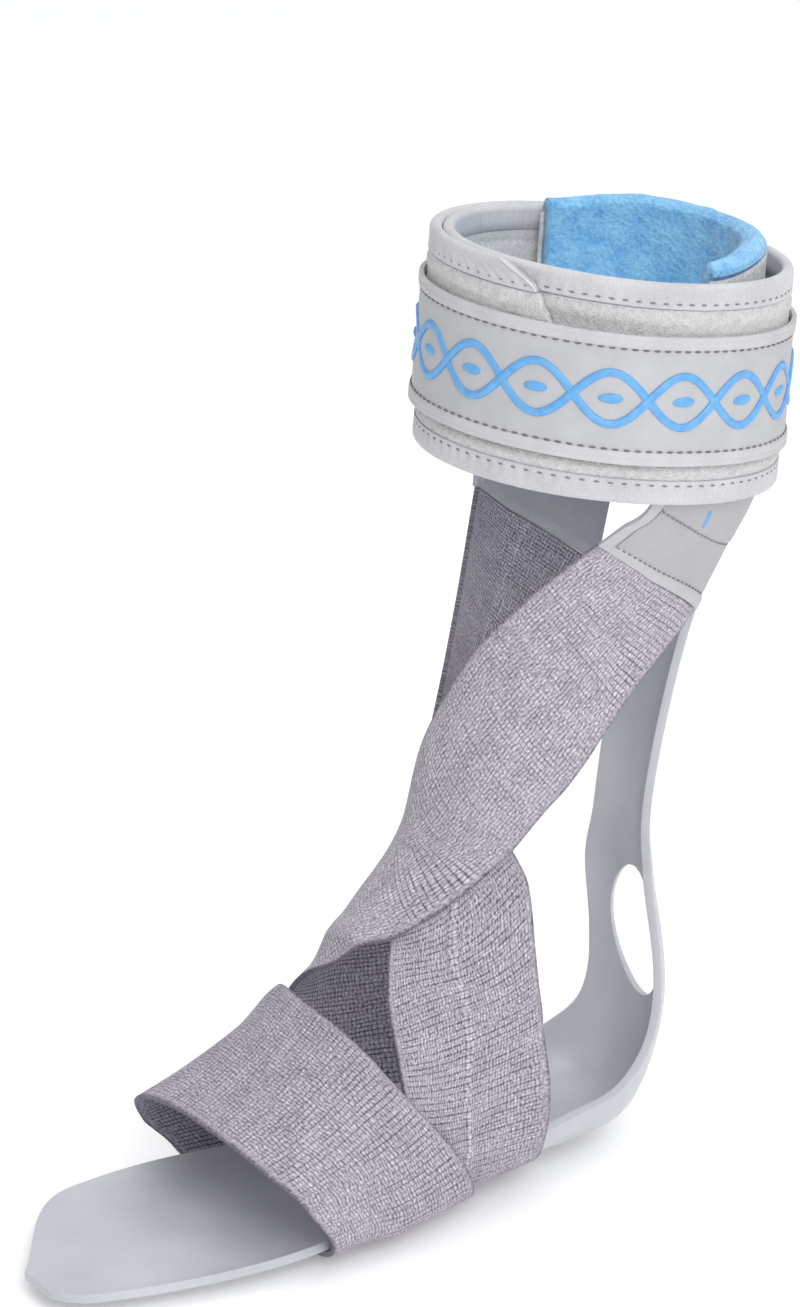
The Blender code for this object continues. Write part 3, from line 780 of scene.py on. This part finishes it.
def binding_place(top, start, end):
    """How a grid lies round the tape: along it by u and round its section by v."""

    def lie(u, v):
        angle = mix(start, end, u)
        outline = binding_outline(wrap_layer(angle, float(top)))
        index = round(v * len(outline)) % len(outline)
        up, out = outline[index]
        if index >= face_first:
            reach = pucker_above if up > seam_inset else pucker_below
            near_seam = math.exp(-(((up - seam_inset) / reach) ** 2))
            stitches = math.radians(angle - start) * cuff_inner_radius / binding_pitch
            beat = pucker_mean - (1.0 - pucker_mean) * math.cos(2 * math.pi * stitches)
            out -= pucker_depth * near_seam * beat
        return binding_point(top, angle, up, out)[0]

    return lie


edge_tape = make_fibrous(
    "edge_tape", (0.60, 0.60, 0.62), 0.9, [((1900.0, 420.0), 2.0), (55.0, 3.0)],
    [(0.34, (0.53, 0.53, 0.56)), (0.66, (0.68, 0.68, 0.70))], 0.0003, 0.8, sheen=0.25,
)


def make_thread(name, dark, light):
    stops = [(0.35, dark), (0.65, light)]
    return make_fibrous(name, dark, 0.8, [(2600.0, 2.0)], stops, 0.0002, 0.8)


grey_thread = make_thread("grey_thread", (0.18, 0.18, 0.21), (0.32, 0.32, 0.35))
dark_thread = make_thread("dark_thread", (0.13, 0.13, 0.155), (0.25, 0.25, 0.275))


def add_ovals(places, size, segments):
    """Ovals at places that give a point and three ways: of the poles, beside them and across."""
    bm = bmesh.new()
    for point, ways in places:
        made = bmesh.ops.create_uvsphere(
            bm, u_segments=segments[0], v_segments=segments[1], radius=0.5
        )
        for vert in made["verts"]:
            shifts = (way * extent * at for way, extent, at in zip(ways, size, vert.co.zyx))
            vert.co = sum(shifts, point)
    return bm


def sew(name, places, size, slot, material):
    """Stitches as one piece, of a length, a width and a height."""
    show_piece(name, add_ovals(places, size, segments=(6, 4)), material, slot)


def seam_places(seam, length, pitch):
    """Places at an even pitch along a seam, which gives a point and the way out at each share.
    Each has a point, the way the seam runs, the way beside it and the way out."""
    count = round(length / pitch)
    places = []
    for step in range(count):
        share = (step + 0.5) / count
        point, outward = seam(share)
        run = (seam(share + 0.25 / count)[0] - seam(share - 0.25 / count)[0]).normalized()
        side = run.cross(outward).normalized()
        places.append((point, (run, side, side.cross(run))))
    return places


def cuff_outward(angle):
    return (cuff_point(angle, 0.5, 0.01) - cuff_point(angle, 0.5, 0.0)).normalized()


def binding_seam(top, start, end):
    """The line of stitches on the outer face of a binding, just inside its inner edge."""

    def seam(share):
        angle = mix(start, end, share)
        face = wrap_layer(angle, float(top)) + wrap_thickness + binding_lip
        out = face - pucker_depth * stitch_sink
        point, at_angle = binding_point(top, angle, seam_inset, out)
        return point, cuff_outward(at_angle)

    return seam


for name, top, start, end in (
    ("cuff_binding_top", True, wrap_start, wrap_end),
    ("cuff_binding_bottom", False, wrap_start, tongue_ramp[0]),
):
    length = math.radians(end - start) * cuff_inner_radius
    size = (length, 2 * binding_height + wrap_thickness)
    bm = cloth_grid(900, section_points, binding_place(top, start, end), size, closed=True)
    close_up(bm)
    show_piece(name + "_tape", bm, edge_tape, "bound_edge", name)
    places = seam_places(binding_seam(top, start, end), length, binding_pitch)
    sew(name + "_stitches", places, binding_stitch, "bound_edge", grey_thread)

# The cut end of the wrap: where its rounded upper corner ends on top of the layer below, the tape's
# raw edge is turned in to a thin pale lip, from the binding's foot up over the rim.
lip_radius = 0.0005
lip_taper = 8.0
pale_lip = make_fibrous(
    "pale_lip", (0.70, 0.70, 0.70), 0.8, [(1300.0, 3.0)],
    [(0.35, (0.63, 0.63, 0.64)), (0.65, (0.76, 0.76, 0.76))], 0.0002, 0.8,
)


def lip_place(u, v):
    """A thin round edge: along it by u and round it by v."""
    middle = wrap_layer(wrap_end, 1.0) - binding_lip + bead
    up = binding_height * math.sin(u * math.pi / 2)
    above = max(0.0, (up - (binding_height - bead)) / bead)
    out = middle + bead * math.sqrt(max(0.0, 1.0 - above**2))
    rise = 1.0 - (binding_height - up) / cuff_height
    turn = 2 * math.pi * v
    radius = lip_radius * math.sqrt(min(1.0, lip_taper * u, lip_taper * (1.0 - u)))
    aside = math.degrees(radius * math.cos(turn) / cuff_inner_radius)
    return cuff_point(slanted(wrap_end, rise) + aside, rise, out + radius * math.sin(turn))


bm = cloth_grid(40, 12, lip_place, size=(0.015, 0.004), closed=True)
bmesh.ops.recalc_face_normals(bm, faces=bm.faces)
show_piece("cuff_wrap_end_lip", bm, pale_lip, "bound_edge")

# The strap of the cuff: smooth coated fabric that closes on the loop fabric and holds the splint to
# the calf. Both long edges are folded to a raised hem, sewn down with a dashed line of dark thread.
# The hems are painted lighter than the strap: a painted highlight on the raised folds.
cuff_strap_thickness = 0.0016
cuff_strap_height = 0.0440
cuff_strap_rise = 0.0145
hem_width = 0.0036
hem_raise = 0.0008
hem_step = 0.0004
crease_depth = 0.55
crease_place = 0.45
crease_width = 0.12
hem_seam_inset = 0.0012
stitch_lift = 0.0002
strap_pitch = 0.0036
strap_stitch = (0.0024, 0.0008, 0.0006)
cuff_round = 2 * math.pi * (cuff_inner_radius + wrap_thickness)


def cuff_strap_out(angle):
    return over_wrap(angle % 360.0) + wrap_thickness + node_gap


def hem(from_edge):
    """A folded hem: raised, with a shallow crease along its middle and a step down at its seam."""
    from_crease = (from_edge / hem_width - crease_place) / crease_width
    crease = crease_depth * math.exp(-(from_crease**2))
    return hem_raise * (1.0 - crease) * (1.0 - ramp(hem_width - hem_step, hem_width, from_edge))


def cuff_strap_place(u, v):
    angle = 360.0 * (u % 1.0)
    height = v * cuff_strap_height
    out = cuff_strap_out(angle) + hem(min(height, cuff_strap_height - height))
    return cuff_point(angle, (cuff_strap_rise + height) / cuff_height, out)


def make_coated_fabric(name, low, high):
    material = new_material(name, low, 0.55)
    cells = {"Vector": object_place(material), "Scale": 1300.0}
    pores = add_node(material, "ShaderNodeTexVoronoi", cells).outputs["Distance"]
    mottle = add_noise(material, 80.0, 4.0)
    set_colours(material, mottle, (0.3, low), (0.7, high))
    add_bump(material, add_maths(material, "MULTIPLY_ADD", mottle, 1.6, pores), 0.00016, 0.6)
    shade(material, {"Roughness": add_range(material, mottle, (0.3, 0.7), (0.48, 0.64))})
    return material


coated_fabric = make_coated_fabric("coated_fabric", (0.50, 0.505, 0.525), (0.56, 0.565, 0.585))
# A lighter copy of the coated fabric for the hems: a painted highlight on their raised folds.
coated_hem_painted_highlight = make_coated_fabric("coated_hem_painted_highlight", (0.56, 0.56, 0.575), (0.625, 0.625, 0.635))


def show_coated(name, bm, in_hem, inside, fabric, hem_fabric, node, thickness):
    """A piece of coated fabric with its hems where in_hem is true for a place on the cloth."""
    uv_layer = bm.loops.layers.uv["cloth"]
    for face in bm.faces:
        corners = [loop[uv_layer].uv for loop in face.loops]
        if in_hem(*(sum(corners, Vector((0.0, 0.0))) / len(corners))):
            face.material_index = 1
    piece = show_wall(name, bm, inside, fabric, "smooth_strap", node, thickness)
    piece.data.materials.append(hem_fabric)
    return piece


size = (cuff_round, cuff_strap_height)
bm = cloth_grid(360, 60, cuff_strap_place, size, closed=True, gather=0.75)
cuff_strap = show_coated(
    "cuff_strap_fabric", bm, lambda u, v: min(v, cuff_strap_height - v) < hem_width, in_cuff,
    coated_fabric, coated_hem_painted_highlight, "cuff_strap", cuff_strap_thickness,
)


def cuff_strap_seam(height):
    def seam(share):
        angle = 360.0 * share
        out = cuff_strap_out(angle) + cuff_strap_thickness + stitch_lift
        point = cuff_point(angle, (cuff_strap_rise + height) / cuff_height, out)
        return point, cuff_outward(angle)

    return seam


for name, height in (
    ("lower", hem_width + hem_seam_inset),
    ("upper", cuff_strap_height - hem_width - hem_seam_inset),
):
    places = seam_places(cuff_strap_seam(height), cuff_round, strap_pitch)
    sew("cuff_strap_stitches_" + name, places, strap_stitch, "smooth_strap", dark_thread)

# The ornament of the strap: a plain chain of two crossing strands, with a lens in each of its
# eyes. It is soft blue silicone, printed on the coated fabric so thick that it stands out and
# shines a little. The strands are painted darker at their rims: painted shade on their sloping
# sides.
chain_repeats = 8
chain_height = 0.0088
chain_look_ahead = 0.0004
chain_points = 64
strand_width = 0.0028
strand_raise = 0.0008
strand_roundness = 0.7
over_raise = 0.25
lens_raise = 2.2
lens_size = (lens_raise * strand_raise, 0.0034, 0.0085)
print_root = 0.0003
chain_middle = cuff_strap_rise + cuff_strap_height / 2

blue_print = new_material("blue_print", (0.11, 0.36, 0.78), 0.42)
flow = add_noise(blue_print, 300.0, 3.0)
across_strand = add_node(blue_print, "ShaderNodeSeparateXYZ", {0: cloth_place(blue_print)})
half = strand_width / 2
aside = add_maths(blue_print, "SUBTRACT", across_strand.outputs[1], half)
from_middle = add_maths(blue_print, "ABSOLUTE", aside)
# Painted shade: each strand darkens towards its rims, where its sides slope away.
rim_shade = add_range(blue_print, from_middle, (0.70 * half, 0.86 * half), (0.0, 0.75))
tone = add_maths(blue_print, "SUBTRACT", flow, rim_shade)
set_colours(
    blue_print, tone,
    (0.0, (0.05, 0.20, 0.55)), (0.3, (0.12, 0.38, 0.76)), (0.7, (0.17, 0.46, 0.84)),
)
add_bump(blue_print, flow, 0.0002, 0.6)


def chain_strand(strand):
    """A strand as a ridge with a half round section. The upper one stands a little higher."""

    def phase(u):
        return 2 * math.pi * chain_repeats * u + strand * math.pi

    def centre(u):
        around = 2 * math.pi * u * cuff_inner_radius
        return Vector((around, chain_middle + chain_height * math.sin(phase(u))))

    def lie(u, v):
        u %= 1.0
        at = centre(u)
        run = (centre(u + chain_look_ahead) - at).normalized()
        aside = -math.cos(math.pi * v) * strand_width / 2
        angle = math.degrees((at.x - aside * run.y) / cuff_inner_radius)
        over = 1.0 + over_raise * math.cos(phase(u))
        out = cuff_strap_out(angle) + cuff_strap_thickness - print_root
        out += (print_root + strand_raise * over) * math.sin(math.pi * v) ** strand_roundness
        return cuff_point(angle, (at.y + aside * run.x) / cuff_height, out)

    return lie


for strand in (0, 1):
    size = (cuff_round, strand_width)
    bm = cloth_grid(chain_points * chain_repeats, 10, chain_strand(strand), size, closed=True)
    face_outwards(bm, in_cuff)
    show_piece(f"strap_ornament_strand_{strand + 1}", bm, blue_print, "smooth_strap")

places = []
for count in range(2 * chain_repeats):
    angle = 360.0 * (count + 0.5) / (2 * chain_repeats)
    out = cuff_strap_out(angle) + cuff_strap_thickness
    outward = cuff_outward(angle)
    up_way = (cuff_point(angle, 1.0, 0.0) - cuff_point(angle, 0.0, 0.0)).normalized()
    round_way = up_way.cross(outward).normalized()
    middle = cuff_point(angle, chain_middle / cuff_height, out)
    places.append((middle, (outward, up_way, round_way)))
bm = add_ovals(places, lens_size, segments=(18, 10))
# The lenses' UV sits in the middle of a strand's width, so they get no painted rim shade.
uv_layer = bm.loops.layers.uv.new("cloth")
for face in bm.faces:
    for loop in face.loops:
        loop[uv_layer].uv = (0.0, half)
show_piece("strap_ornament_lenses", bm, blue_print, "smooth_strap")

# The elastic straps: woven elastic 50 mm wide in heathered lilac grey, with fine ribs across it and
# smooth selvedges. They are pulled tight over foot and splint, and each lies on the one below.
elastic_width = 0.050
elastic_thickness = 0.0018
elastic_edge_round = 0.0005
selvedge = (0.0012, 0.0026)
selvedge_fade = (0.0008, 0.0026)
selvedge_tone = 0.16
# Painted shade: each elastic darkens within a millimetre of its edges.
edge_shade_width = 0.0010
edge_shade_tone = -0.34
fold_width = 0.0011
# Painted highlight: a light line along the crest of the stirrup's fold.
fold_highlight_band = (0.0001, 0.0009)
stirrup_fold = 0.0008
rib_height = 0.00020
rib_roundness = 0.6
wobble_reach = 0.0006
wobble_scale = (50.0, 40.0)
mesh_step = 0.00042
end_share = 0.02
sole_share = 0.9999
strap_gap = 0.0005
layer_gap = 0.0008
layer = elastic_thickness + layer_gap
ankle_ramp_low = (3.80, 4.60)
ankle_ramp_high = (8.20, 8.80)
ankle_ramp_angle = (-90.0, -62.0)
StrapRow = namedtuple("StrapRow", "heel_station heel_angle toe_station toe_angle")
ANKLE_STRAP_ROWS = [StrapRow(*row) for row in (
    (9.65, 60, 9.20, 126),
    (9.40, 44, 8.82, 104),
    (9.15, 28, 8.52, 90),
    (8.90, 12, 8.28, 77),
    (8.65, -2, 8.02, 64),
    (8.38, -16, 7.60, 53),
    (8.05, -29, 6.95, 41),
    (7.62, -42, 6.15, 28),
    (7.10, -54, 5.20, 17),
    (6.55, -65, 4.40, 5),
    (5.95, -76, 3.85, -10),
    (5.40, -87, 3.60, -30),
    (5.00, -100, 3.45, -55),
    (4.70, -120, 3.35, -90),
    (4.50, -145, 3.30, -130),
    (4.42, -180, 3.28, -180),
)]
STIRRUP_STRAP_ROWS = [StrapRow(*row) for row in (
    (9.60, -68, 9.15, -132),
    (9.00, -61, 8.35, -110),
    (8.50, -52, 7.50, -88),
    (8.15, -40, 6.85, -68),
    (8.00, -24, 6.45, -50),
    (8.02, -6, 6.25, -33),
    (8.05, 12, 6.15, -18),
    (8.02, 28, 6.05, -4),
    (7.90, 43, 5.85, 8),
    (7.62, 54, 5.45, 17),
    (7.20, 62, 4.80, 23),
    (6.75, 69, 4.20, 29),
    (6.25, 76, 3.85, 38),
    (5.60, 86, 3.60, 50),
    (5.00, 98, 3.45, 64),
    (4.62, 120, 3.36, 92),
    (4.48, 145, 3.30, 130),
    (4.42, 180, 3.28, 180),
)]


def no_climb(station, angle):
    return strap_gap


def ankle_climb(station, angle):
    height = ramp(*ankle_ramp_low, station) - ramp(*ankle_ramp_high, station)
    return strap_gap + layer * height * ramp(*ankle_ramp_angle, angle)


def weave(name, rib_pitch, bead_pitch, rib_shade_strength, bead_shade_strength, lightness, fold_highlight_tone=0.0):
    """Heathered yarn in beads, with painted shade in the gaps between the ribs and fainter painted
    shade in the gaps along the strap, painted shade at the very edges and, where asked, a painted
    highlight along a fold.
    """
    material = new_material(name, (0.40, 0.375, 0.43), 0.9)

    def maths(operation, *values):
        return add_maths(material, operation, *values)

    def gaps(axis, pitch, sharpness):
        wave = maths("ABSOLUTE", maths("SINE", maths("MULTIPLY", axis, math.pi / pitch)))
        return maths("POWER", maths("SUBTRACT", 1.0, wave), sharpness)

    split = add_node(material, "ShaderNodeSeparateXYZ", {0: cloth_place(material)}).outputs
    along, across = split[0], split[1]
    drift = maths("MULTIPLY", add_noise(material, (260.0, 260.0)), 0.0022)
    rows = gaps(maths("ADD", across, drift), bead_pitch, 1.6)
    streaks = add_noise(material, (420.0, 90.0))
    unevenness = add_range(material, streaks, (0.34, 0.60), (0.3, 1.0))
    ribs = maths("MULTIPLY", gaps(along, rib_pitch, 1.8), unevenness)
    from_edge = maths("MINIMUM", across, maths("SUBTRACT", elastic_width, across))
    body = add_range(material, from_edge, selvedge, (0.0, 1.0))
    # Painted shade in the gaps between the ribs and, fainter, between the bead rows.
    bead_row_shade = maths("MULTIPLY", rows, bead_shade_strength)
    dark = maths("MULTIPLY_ADD", ribs, rib_shade_strength, bead_row_shade)
    from_fold = maths("SUBTRACT", elastic_width / 2, from_edge)
    tone = maths("MULTIPLY_ADD", add_noise(material, (1100.0, 1100.0)), 1.35, lightness)
    for shift in (
        maths("MULTIPLY", add_noise(material, (120.0, 120.0), 3.0), 0.30),
        # Painted shade in the gaps, kept out of the selvedges.
        maths("MULTIPLY", maths("MULTIPLY", dark, body), -1.0),
        maths("MULTIPLY_ADD", body, selvedge_tone, -selvedge_tone),
        # Painted shade within a millimetre of each edge.
        add_range(material, from_edge, (0.0, edge_shade_width), (edge_shade_tone, 0.0)),
        # Painted highlight along the fold ridge in the middle of the strap.
        add_range(material, from_fold, fold_highlight_band, (fold_highlight_tone, 0.0)),
    ):
        tone = maths("ADD", tone, shift)
    set_colours(
        material, tone,
        (0.0, (0.11, 0.095, 0.125)), (0.5, (0.42, 0.385, 0.45)), (1.0, (0.86, 0.82, 0.89)),
    )
    add_bump(material, tone, 0.0005, 0.8)
    shade(material, {"Sheen Weight": 0.15})
    return material


def rib_relief(along, across, pitch):
    """Ribs with narrow grooves between them, which fade out in the selvedges."""
    from_edge = min(across, elastic_width - across)
    ribs = abs(math.sin(math.pi * along / pitch)) ** rib_roundness
    return rib_height * ribs * ramp(*selvedge_fade, from_edge)


def strap_wobble(along, across):
    """How far a rib strays along the strap: it is never quite straight."""
    return wobble_reach * noise.noise(
        Vector((along * wobble_scale[0], across * wobble_scale[1], 0.5))
    )


def even_runs(path, count=400):
    """A function for runs at equal steps of length along a path's middle, and that length."""
    points = [last_point(*path(step / count, 0.5), 0.0) for step in range(count + 1)]
    reached = [0.0]
    for point, after in zip(points, points[1:]):
        reached.append(reached[-1] + (after - point).length)

    def run_at(share):
        wanted = min(max(share, 0.0), 1.0) * reached[-1]
        index = min(bisect.bisect_right(reached, wanted), count) - 1
        part = (wanted - reached[index]) / (reached[index + 1] - reached[index])
        return (index + part) / count

    return run_at, reached[-1]


def strap_path(rows):
    """The station and angle at a run along a strap and a share across it."""
    numbers = list(range(len(rows)))

    def path(run, share):
        edges = through(rows, numbers, run * numbers[-1])
        return mix(edges[0], edges[2], share), mix(edges[1], edges[3], share)

    return path


def lay_elastic(node, path, climb, material, pitch, across, inside, side=0, fold=0.0):
    """Elastic on the last: a loop if it has no side, else a strap that ends half a gap to that
    side of the sole's middle line."""
    run_at, length = even_runs(path)

    def lie(u, v):
        if not side:
            u %= 1.0
        along, aside = u * length, v * elastic_width
        ends = ramp(0.0, end_share, u) * (1.0 - ramp(1.0 - end_share, 1.0, u))
        station, angle = path(run_at(u + strap_wobble(along, aside) * ends / length), v)
        ridge = fold * math.exp(-(((aside - elastic_width / 2) / fold_width) ** 2))
        out = climb(station, angle) + rib_relief(along, aside, pitch) + ridge * ends
        point = last_point(station, angle, out)
        if side and u > sole_share:
            point.x = side * node_gap / 2
        return point

    size = (length, elastic_width)
    bm = cloth_grid(round(length / mesh_step), across, lie, size, closed=not side)
    return show_wall(
        node + "_elastic", bm, inside, material, "ribbed_elastic", node, elastic_thickness,
        edge_round=elastic_edge_round,
    )


ankle_elastic = weave("ankle_elastic", 0.0018, 0.0012, 0.72, 0.40, -0.17)
stirrup_elastic = weave("stirrup_elastic", 0.0012, 0.0010, 0.60, 0.40, -0.20, fold_highlight_tone=0.12)

stirrup = lay_elastic(
    "stirrup_strap", strap_path(STIRRUP_STRAP_ROWS), no_climb, stirrup_elastic, 0.0024, 50,
    in_instep, side=1, fold=stirrup_fold,
)
ankle = lay_elastic(
    "ankle_strap", strap_path(ANKLE_STRAP_ROWS), ankle_climb, ankle_elastic, 0.0018, 28,
    in_instep, side=-1,
)

# The forefoot band: a closed loop of the same elastic in a coarser rib, round the forefoot and the
# sole plate. It lies over the lower ends of both straps.
band_ramp_station = (2.70, 3.18)
band_rib_pitch = 0.0020
BandRow = namedtuple("BandRow", "angle front rear")
BAND_ROWS = [BandRow(*row) for row in (
    (-180, 2.35, 3.95),
    (-140, 2.32, 3.90),
    (-100, 2.02, 3.65),
    (-65, 1.82, 3.40),
    (-32, 1.75, 3.20),
    (-5, 1.75, 3.05),
    (20, 1.77, 3.07),
    (48, 1.86, 3.25),
    (64, 1.97, 3.45),
    (86, 2.13, 3.75),
    (104, 2.25, 3.87),
    (125, 2.36, 3.95),
    (150, 2.37, 3.97),
    (180, 2.35, 3.95),
)]


def band_climb(station, angle):
    return strap_gap + layer * ramp(*band_ramp_station, station)


def band_path(run, share):
    angle = mix(-180.0, 180.0, run)
    _, front, rear = through(BAND_ROWS, [row.angle for row in BAND_ROWS], angle)
    return mix(front, rear, share), angle


band_length = even_runs(band_path)[1]
band_pitch = band_length / round(band_length / band_rib_pitch)
band_elastic = weave("band_elastic", band_pitch, 0.0011, 0.76, 0.42, -0.21)
in_forefoot = Vector((0.0, -0.45 * toe_reach, 0.24 * instep_height))
band = lay_elastic(
    "forefoot_band", band_path, band_climb, band_elastic, band_pitch, 28, in_forefoot
)

# The tabs: the coated fabric again, sewn to the upper end of each strap and closed on the inside of
# the wrap. A raised hem with a dashed seam runs along the lower and the front edge, and a seam
# crosses the tab. The tab's fabric is painted darker than the strap's, as painted shade, and its
# hem lighter than the tab, as a painted highlight on the raised fold.
tab_thickness = 0.0018
tab_tilt_share = 0.3
tab_hem_width = 0.0034
tab_stitch = (0.0018, 0.0007, 0.0005)
TabRow = namedtuple("TabRow", "front_angle rear_angle rise inset")
TAB_ROWS = [TabRow(*row) for row in (
    (74, 136, -0.02, 0.0018),
    (82, 144, 0.26, 0.0),
)]
tab_size = (0.0575, 0.0570)
cross_seam_ends = (0.71, 0.385)
cross_seam_sag = 0.38
cross_seam_inset = 0.02
cross_step_half = 0.004
cross_step_raise = 0.5
seam_far_end = 0.98
tab_pitch = 0.0027


def tab_base(row, side):
    """How a tab lies: from its strap's end by u up into the wrap, and across by v."""

    def line_at(v):
        station = mix(row.heel_station, row.toe_station, v)
        start = last_point(station, mix(row.heel_angle, row.toe_angle, v), strap_gap)
        reached = []
        for tab_row in TAB_ROWS:
            angle = side * mix(tab_row.front_angle, tab_row.rear_angle, v)
            out = -(strap_gap + binding_lip + tab_thickness + tab_row.inset)
            if side < 0:
                out -= wrap_step / 2
            reached.append(cuff_point(angle, tab_row.rise, out))
        towards = (reached[0] - start).normalized()
        first = start + towards * (node_gap + tab_tilt_share * tab_thickness)
        return [first, start.lerp(reached[0], 0.5)] + reached

    return lambda u, v: Vector(through(line_at(v), [0, 1, 2, 3], 3 * u))


slope_step = 0.01
in_leg = Vector((0.0, cuff_middle_back, leg_height))


def tab_outward(base, u, v, side):
    along = base(min(u + slope_step, 1.0), v) - base(max(u - slope_step, 0.0), v)
    across = base(u, min(v + slope_step, 1.0)) - base(u, max(v - slope_step, 0.0))
    return side * across.cross(along).normalized()


def cross_seam(v):
    return mix(*cross_seam_ends, v) - cross_seam_sag * v * (1.0 - v)


# The tab is the strap's coated fabric painted darker: painted shade. Its hem is painted lighter
# than the tab: a painted highlight on the raised fold.
coated_tab_painted_shade = make_coated_fabric("coated_tab_painted_shade", (0.425, 0.42, 0.445), (0.475, 0.47, 0.495))
tab_hem_painted_highlight = make_coated_fabric("tab_hem_painted_highlight", (0.495, 0.49, 0.51), (0.565, 0.56, 0.58))

for name, row, side in (
    ("ankle_strap_tab", ANKLE_STRAP_ROWS[0], 1),
    ("stirrup_tab", STIRRUP_STRAP_ROWS[0], -1),
):
    base = tab_base(row, side)

    def tab_place(u, v):
        from_edge = min(u * tab_size[0], v * tab_size[1])
        in_hem = 1.0 - ramp(tab_hem_width - hem_step, tab_hem_width, from_edge)
        seam = cross_seam(v)
        over = cross_step_raise * ramp(seam - cross_step_half, seam + cross_step_half, u)
        return base(u, v) + tab_outward(base, u, v, side) * hem_raise * max(over, in_hem)

    bm = cloth_grid(110, 110, tab_place, tab_size)
    tab = show_coated(
        name + "_fabric", bm, lambda u, v: min(u, v) < tab_hem_width, in_leg,
        coated_tab_painted_shade, tab_hem_painted_highlight, name, tab_thickness,
    )

    def tab_seam(place_at):
        """Stitches over the tab's outer face, at the shares u and v that place_at gives."""

        def seam(share):
            u, v = place_at(share)
            outward = tab_outward(base, u, v, side)
            return base(u, v) + outward * (tab_thickness + stitch_lift), outward

        return seam_places(seam, tab_size[0] - tab_hem_width, tab_pitch)

    low = (tab_hem_width + hem_seam_inset) / tab_size[0]
    left = (tab_hem_width + hem_seam_inset) / tab_size[1]

    def across_at(share):
        return mix(left, seam_far_end, share)

    places = tab_seam(lambda share: (low, across_at(share)))
    places += tab_seam(lambda share: (mix(low, 1.0, share), left))
    sew(name + "_hem_stitches", places, tab_stitch, "smooth_strap", dark_thread)
    places = tab_seam(
        lambda share: (cross_seam(across_at(share)) - cross_seam_inset, across_at(share))
    )
    sew(name + "_cross_stitches", places, tab_stitch, "smooth_strap", grey_thread)

# A short plain bar in the same raised blue print closes the ornament on the outer tab. It is
# printed like the chain, and its ends are rounded.
bar_start = (0.485, 0.487)
bar_end = (0.63, 0.424)
bar_width = 0.0020
bar_squareness = 6
base = tab_base(ANKLE_STRAP_ROWS[0], 1)


def bar_place(u, v):
    at_u, at_v = (mix(a, b, u) for a, b in zip(bar_start, bar_end))
    end_round = math.sqrt(max(0.0, 1.0 - abs(2 * u - 1.0) ** bar_squareness))
    at_v -= math.cos(math.pi * v) * bar_width * end_round / 2 / tab_size[1]
    raised = tab_thickness + strand_raise * math.sin(math.pi * v) * end_round
    return base(at_u, at_v) + tab_outward(base, at_u, at_v, 1) * raised


bm = cloth_grid(30, 10, bar_place, (0.008, strand_width), closed=True)
face_outwards(bm, in_leg)
show_piece("tab_ornament_bar", bm, blue_print, "smooth_strap")
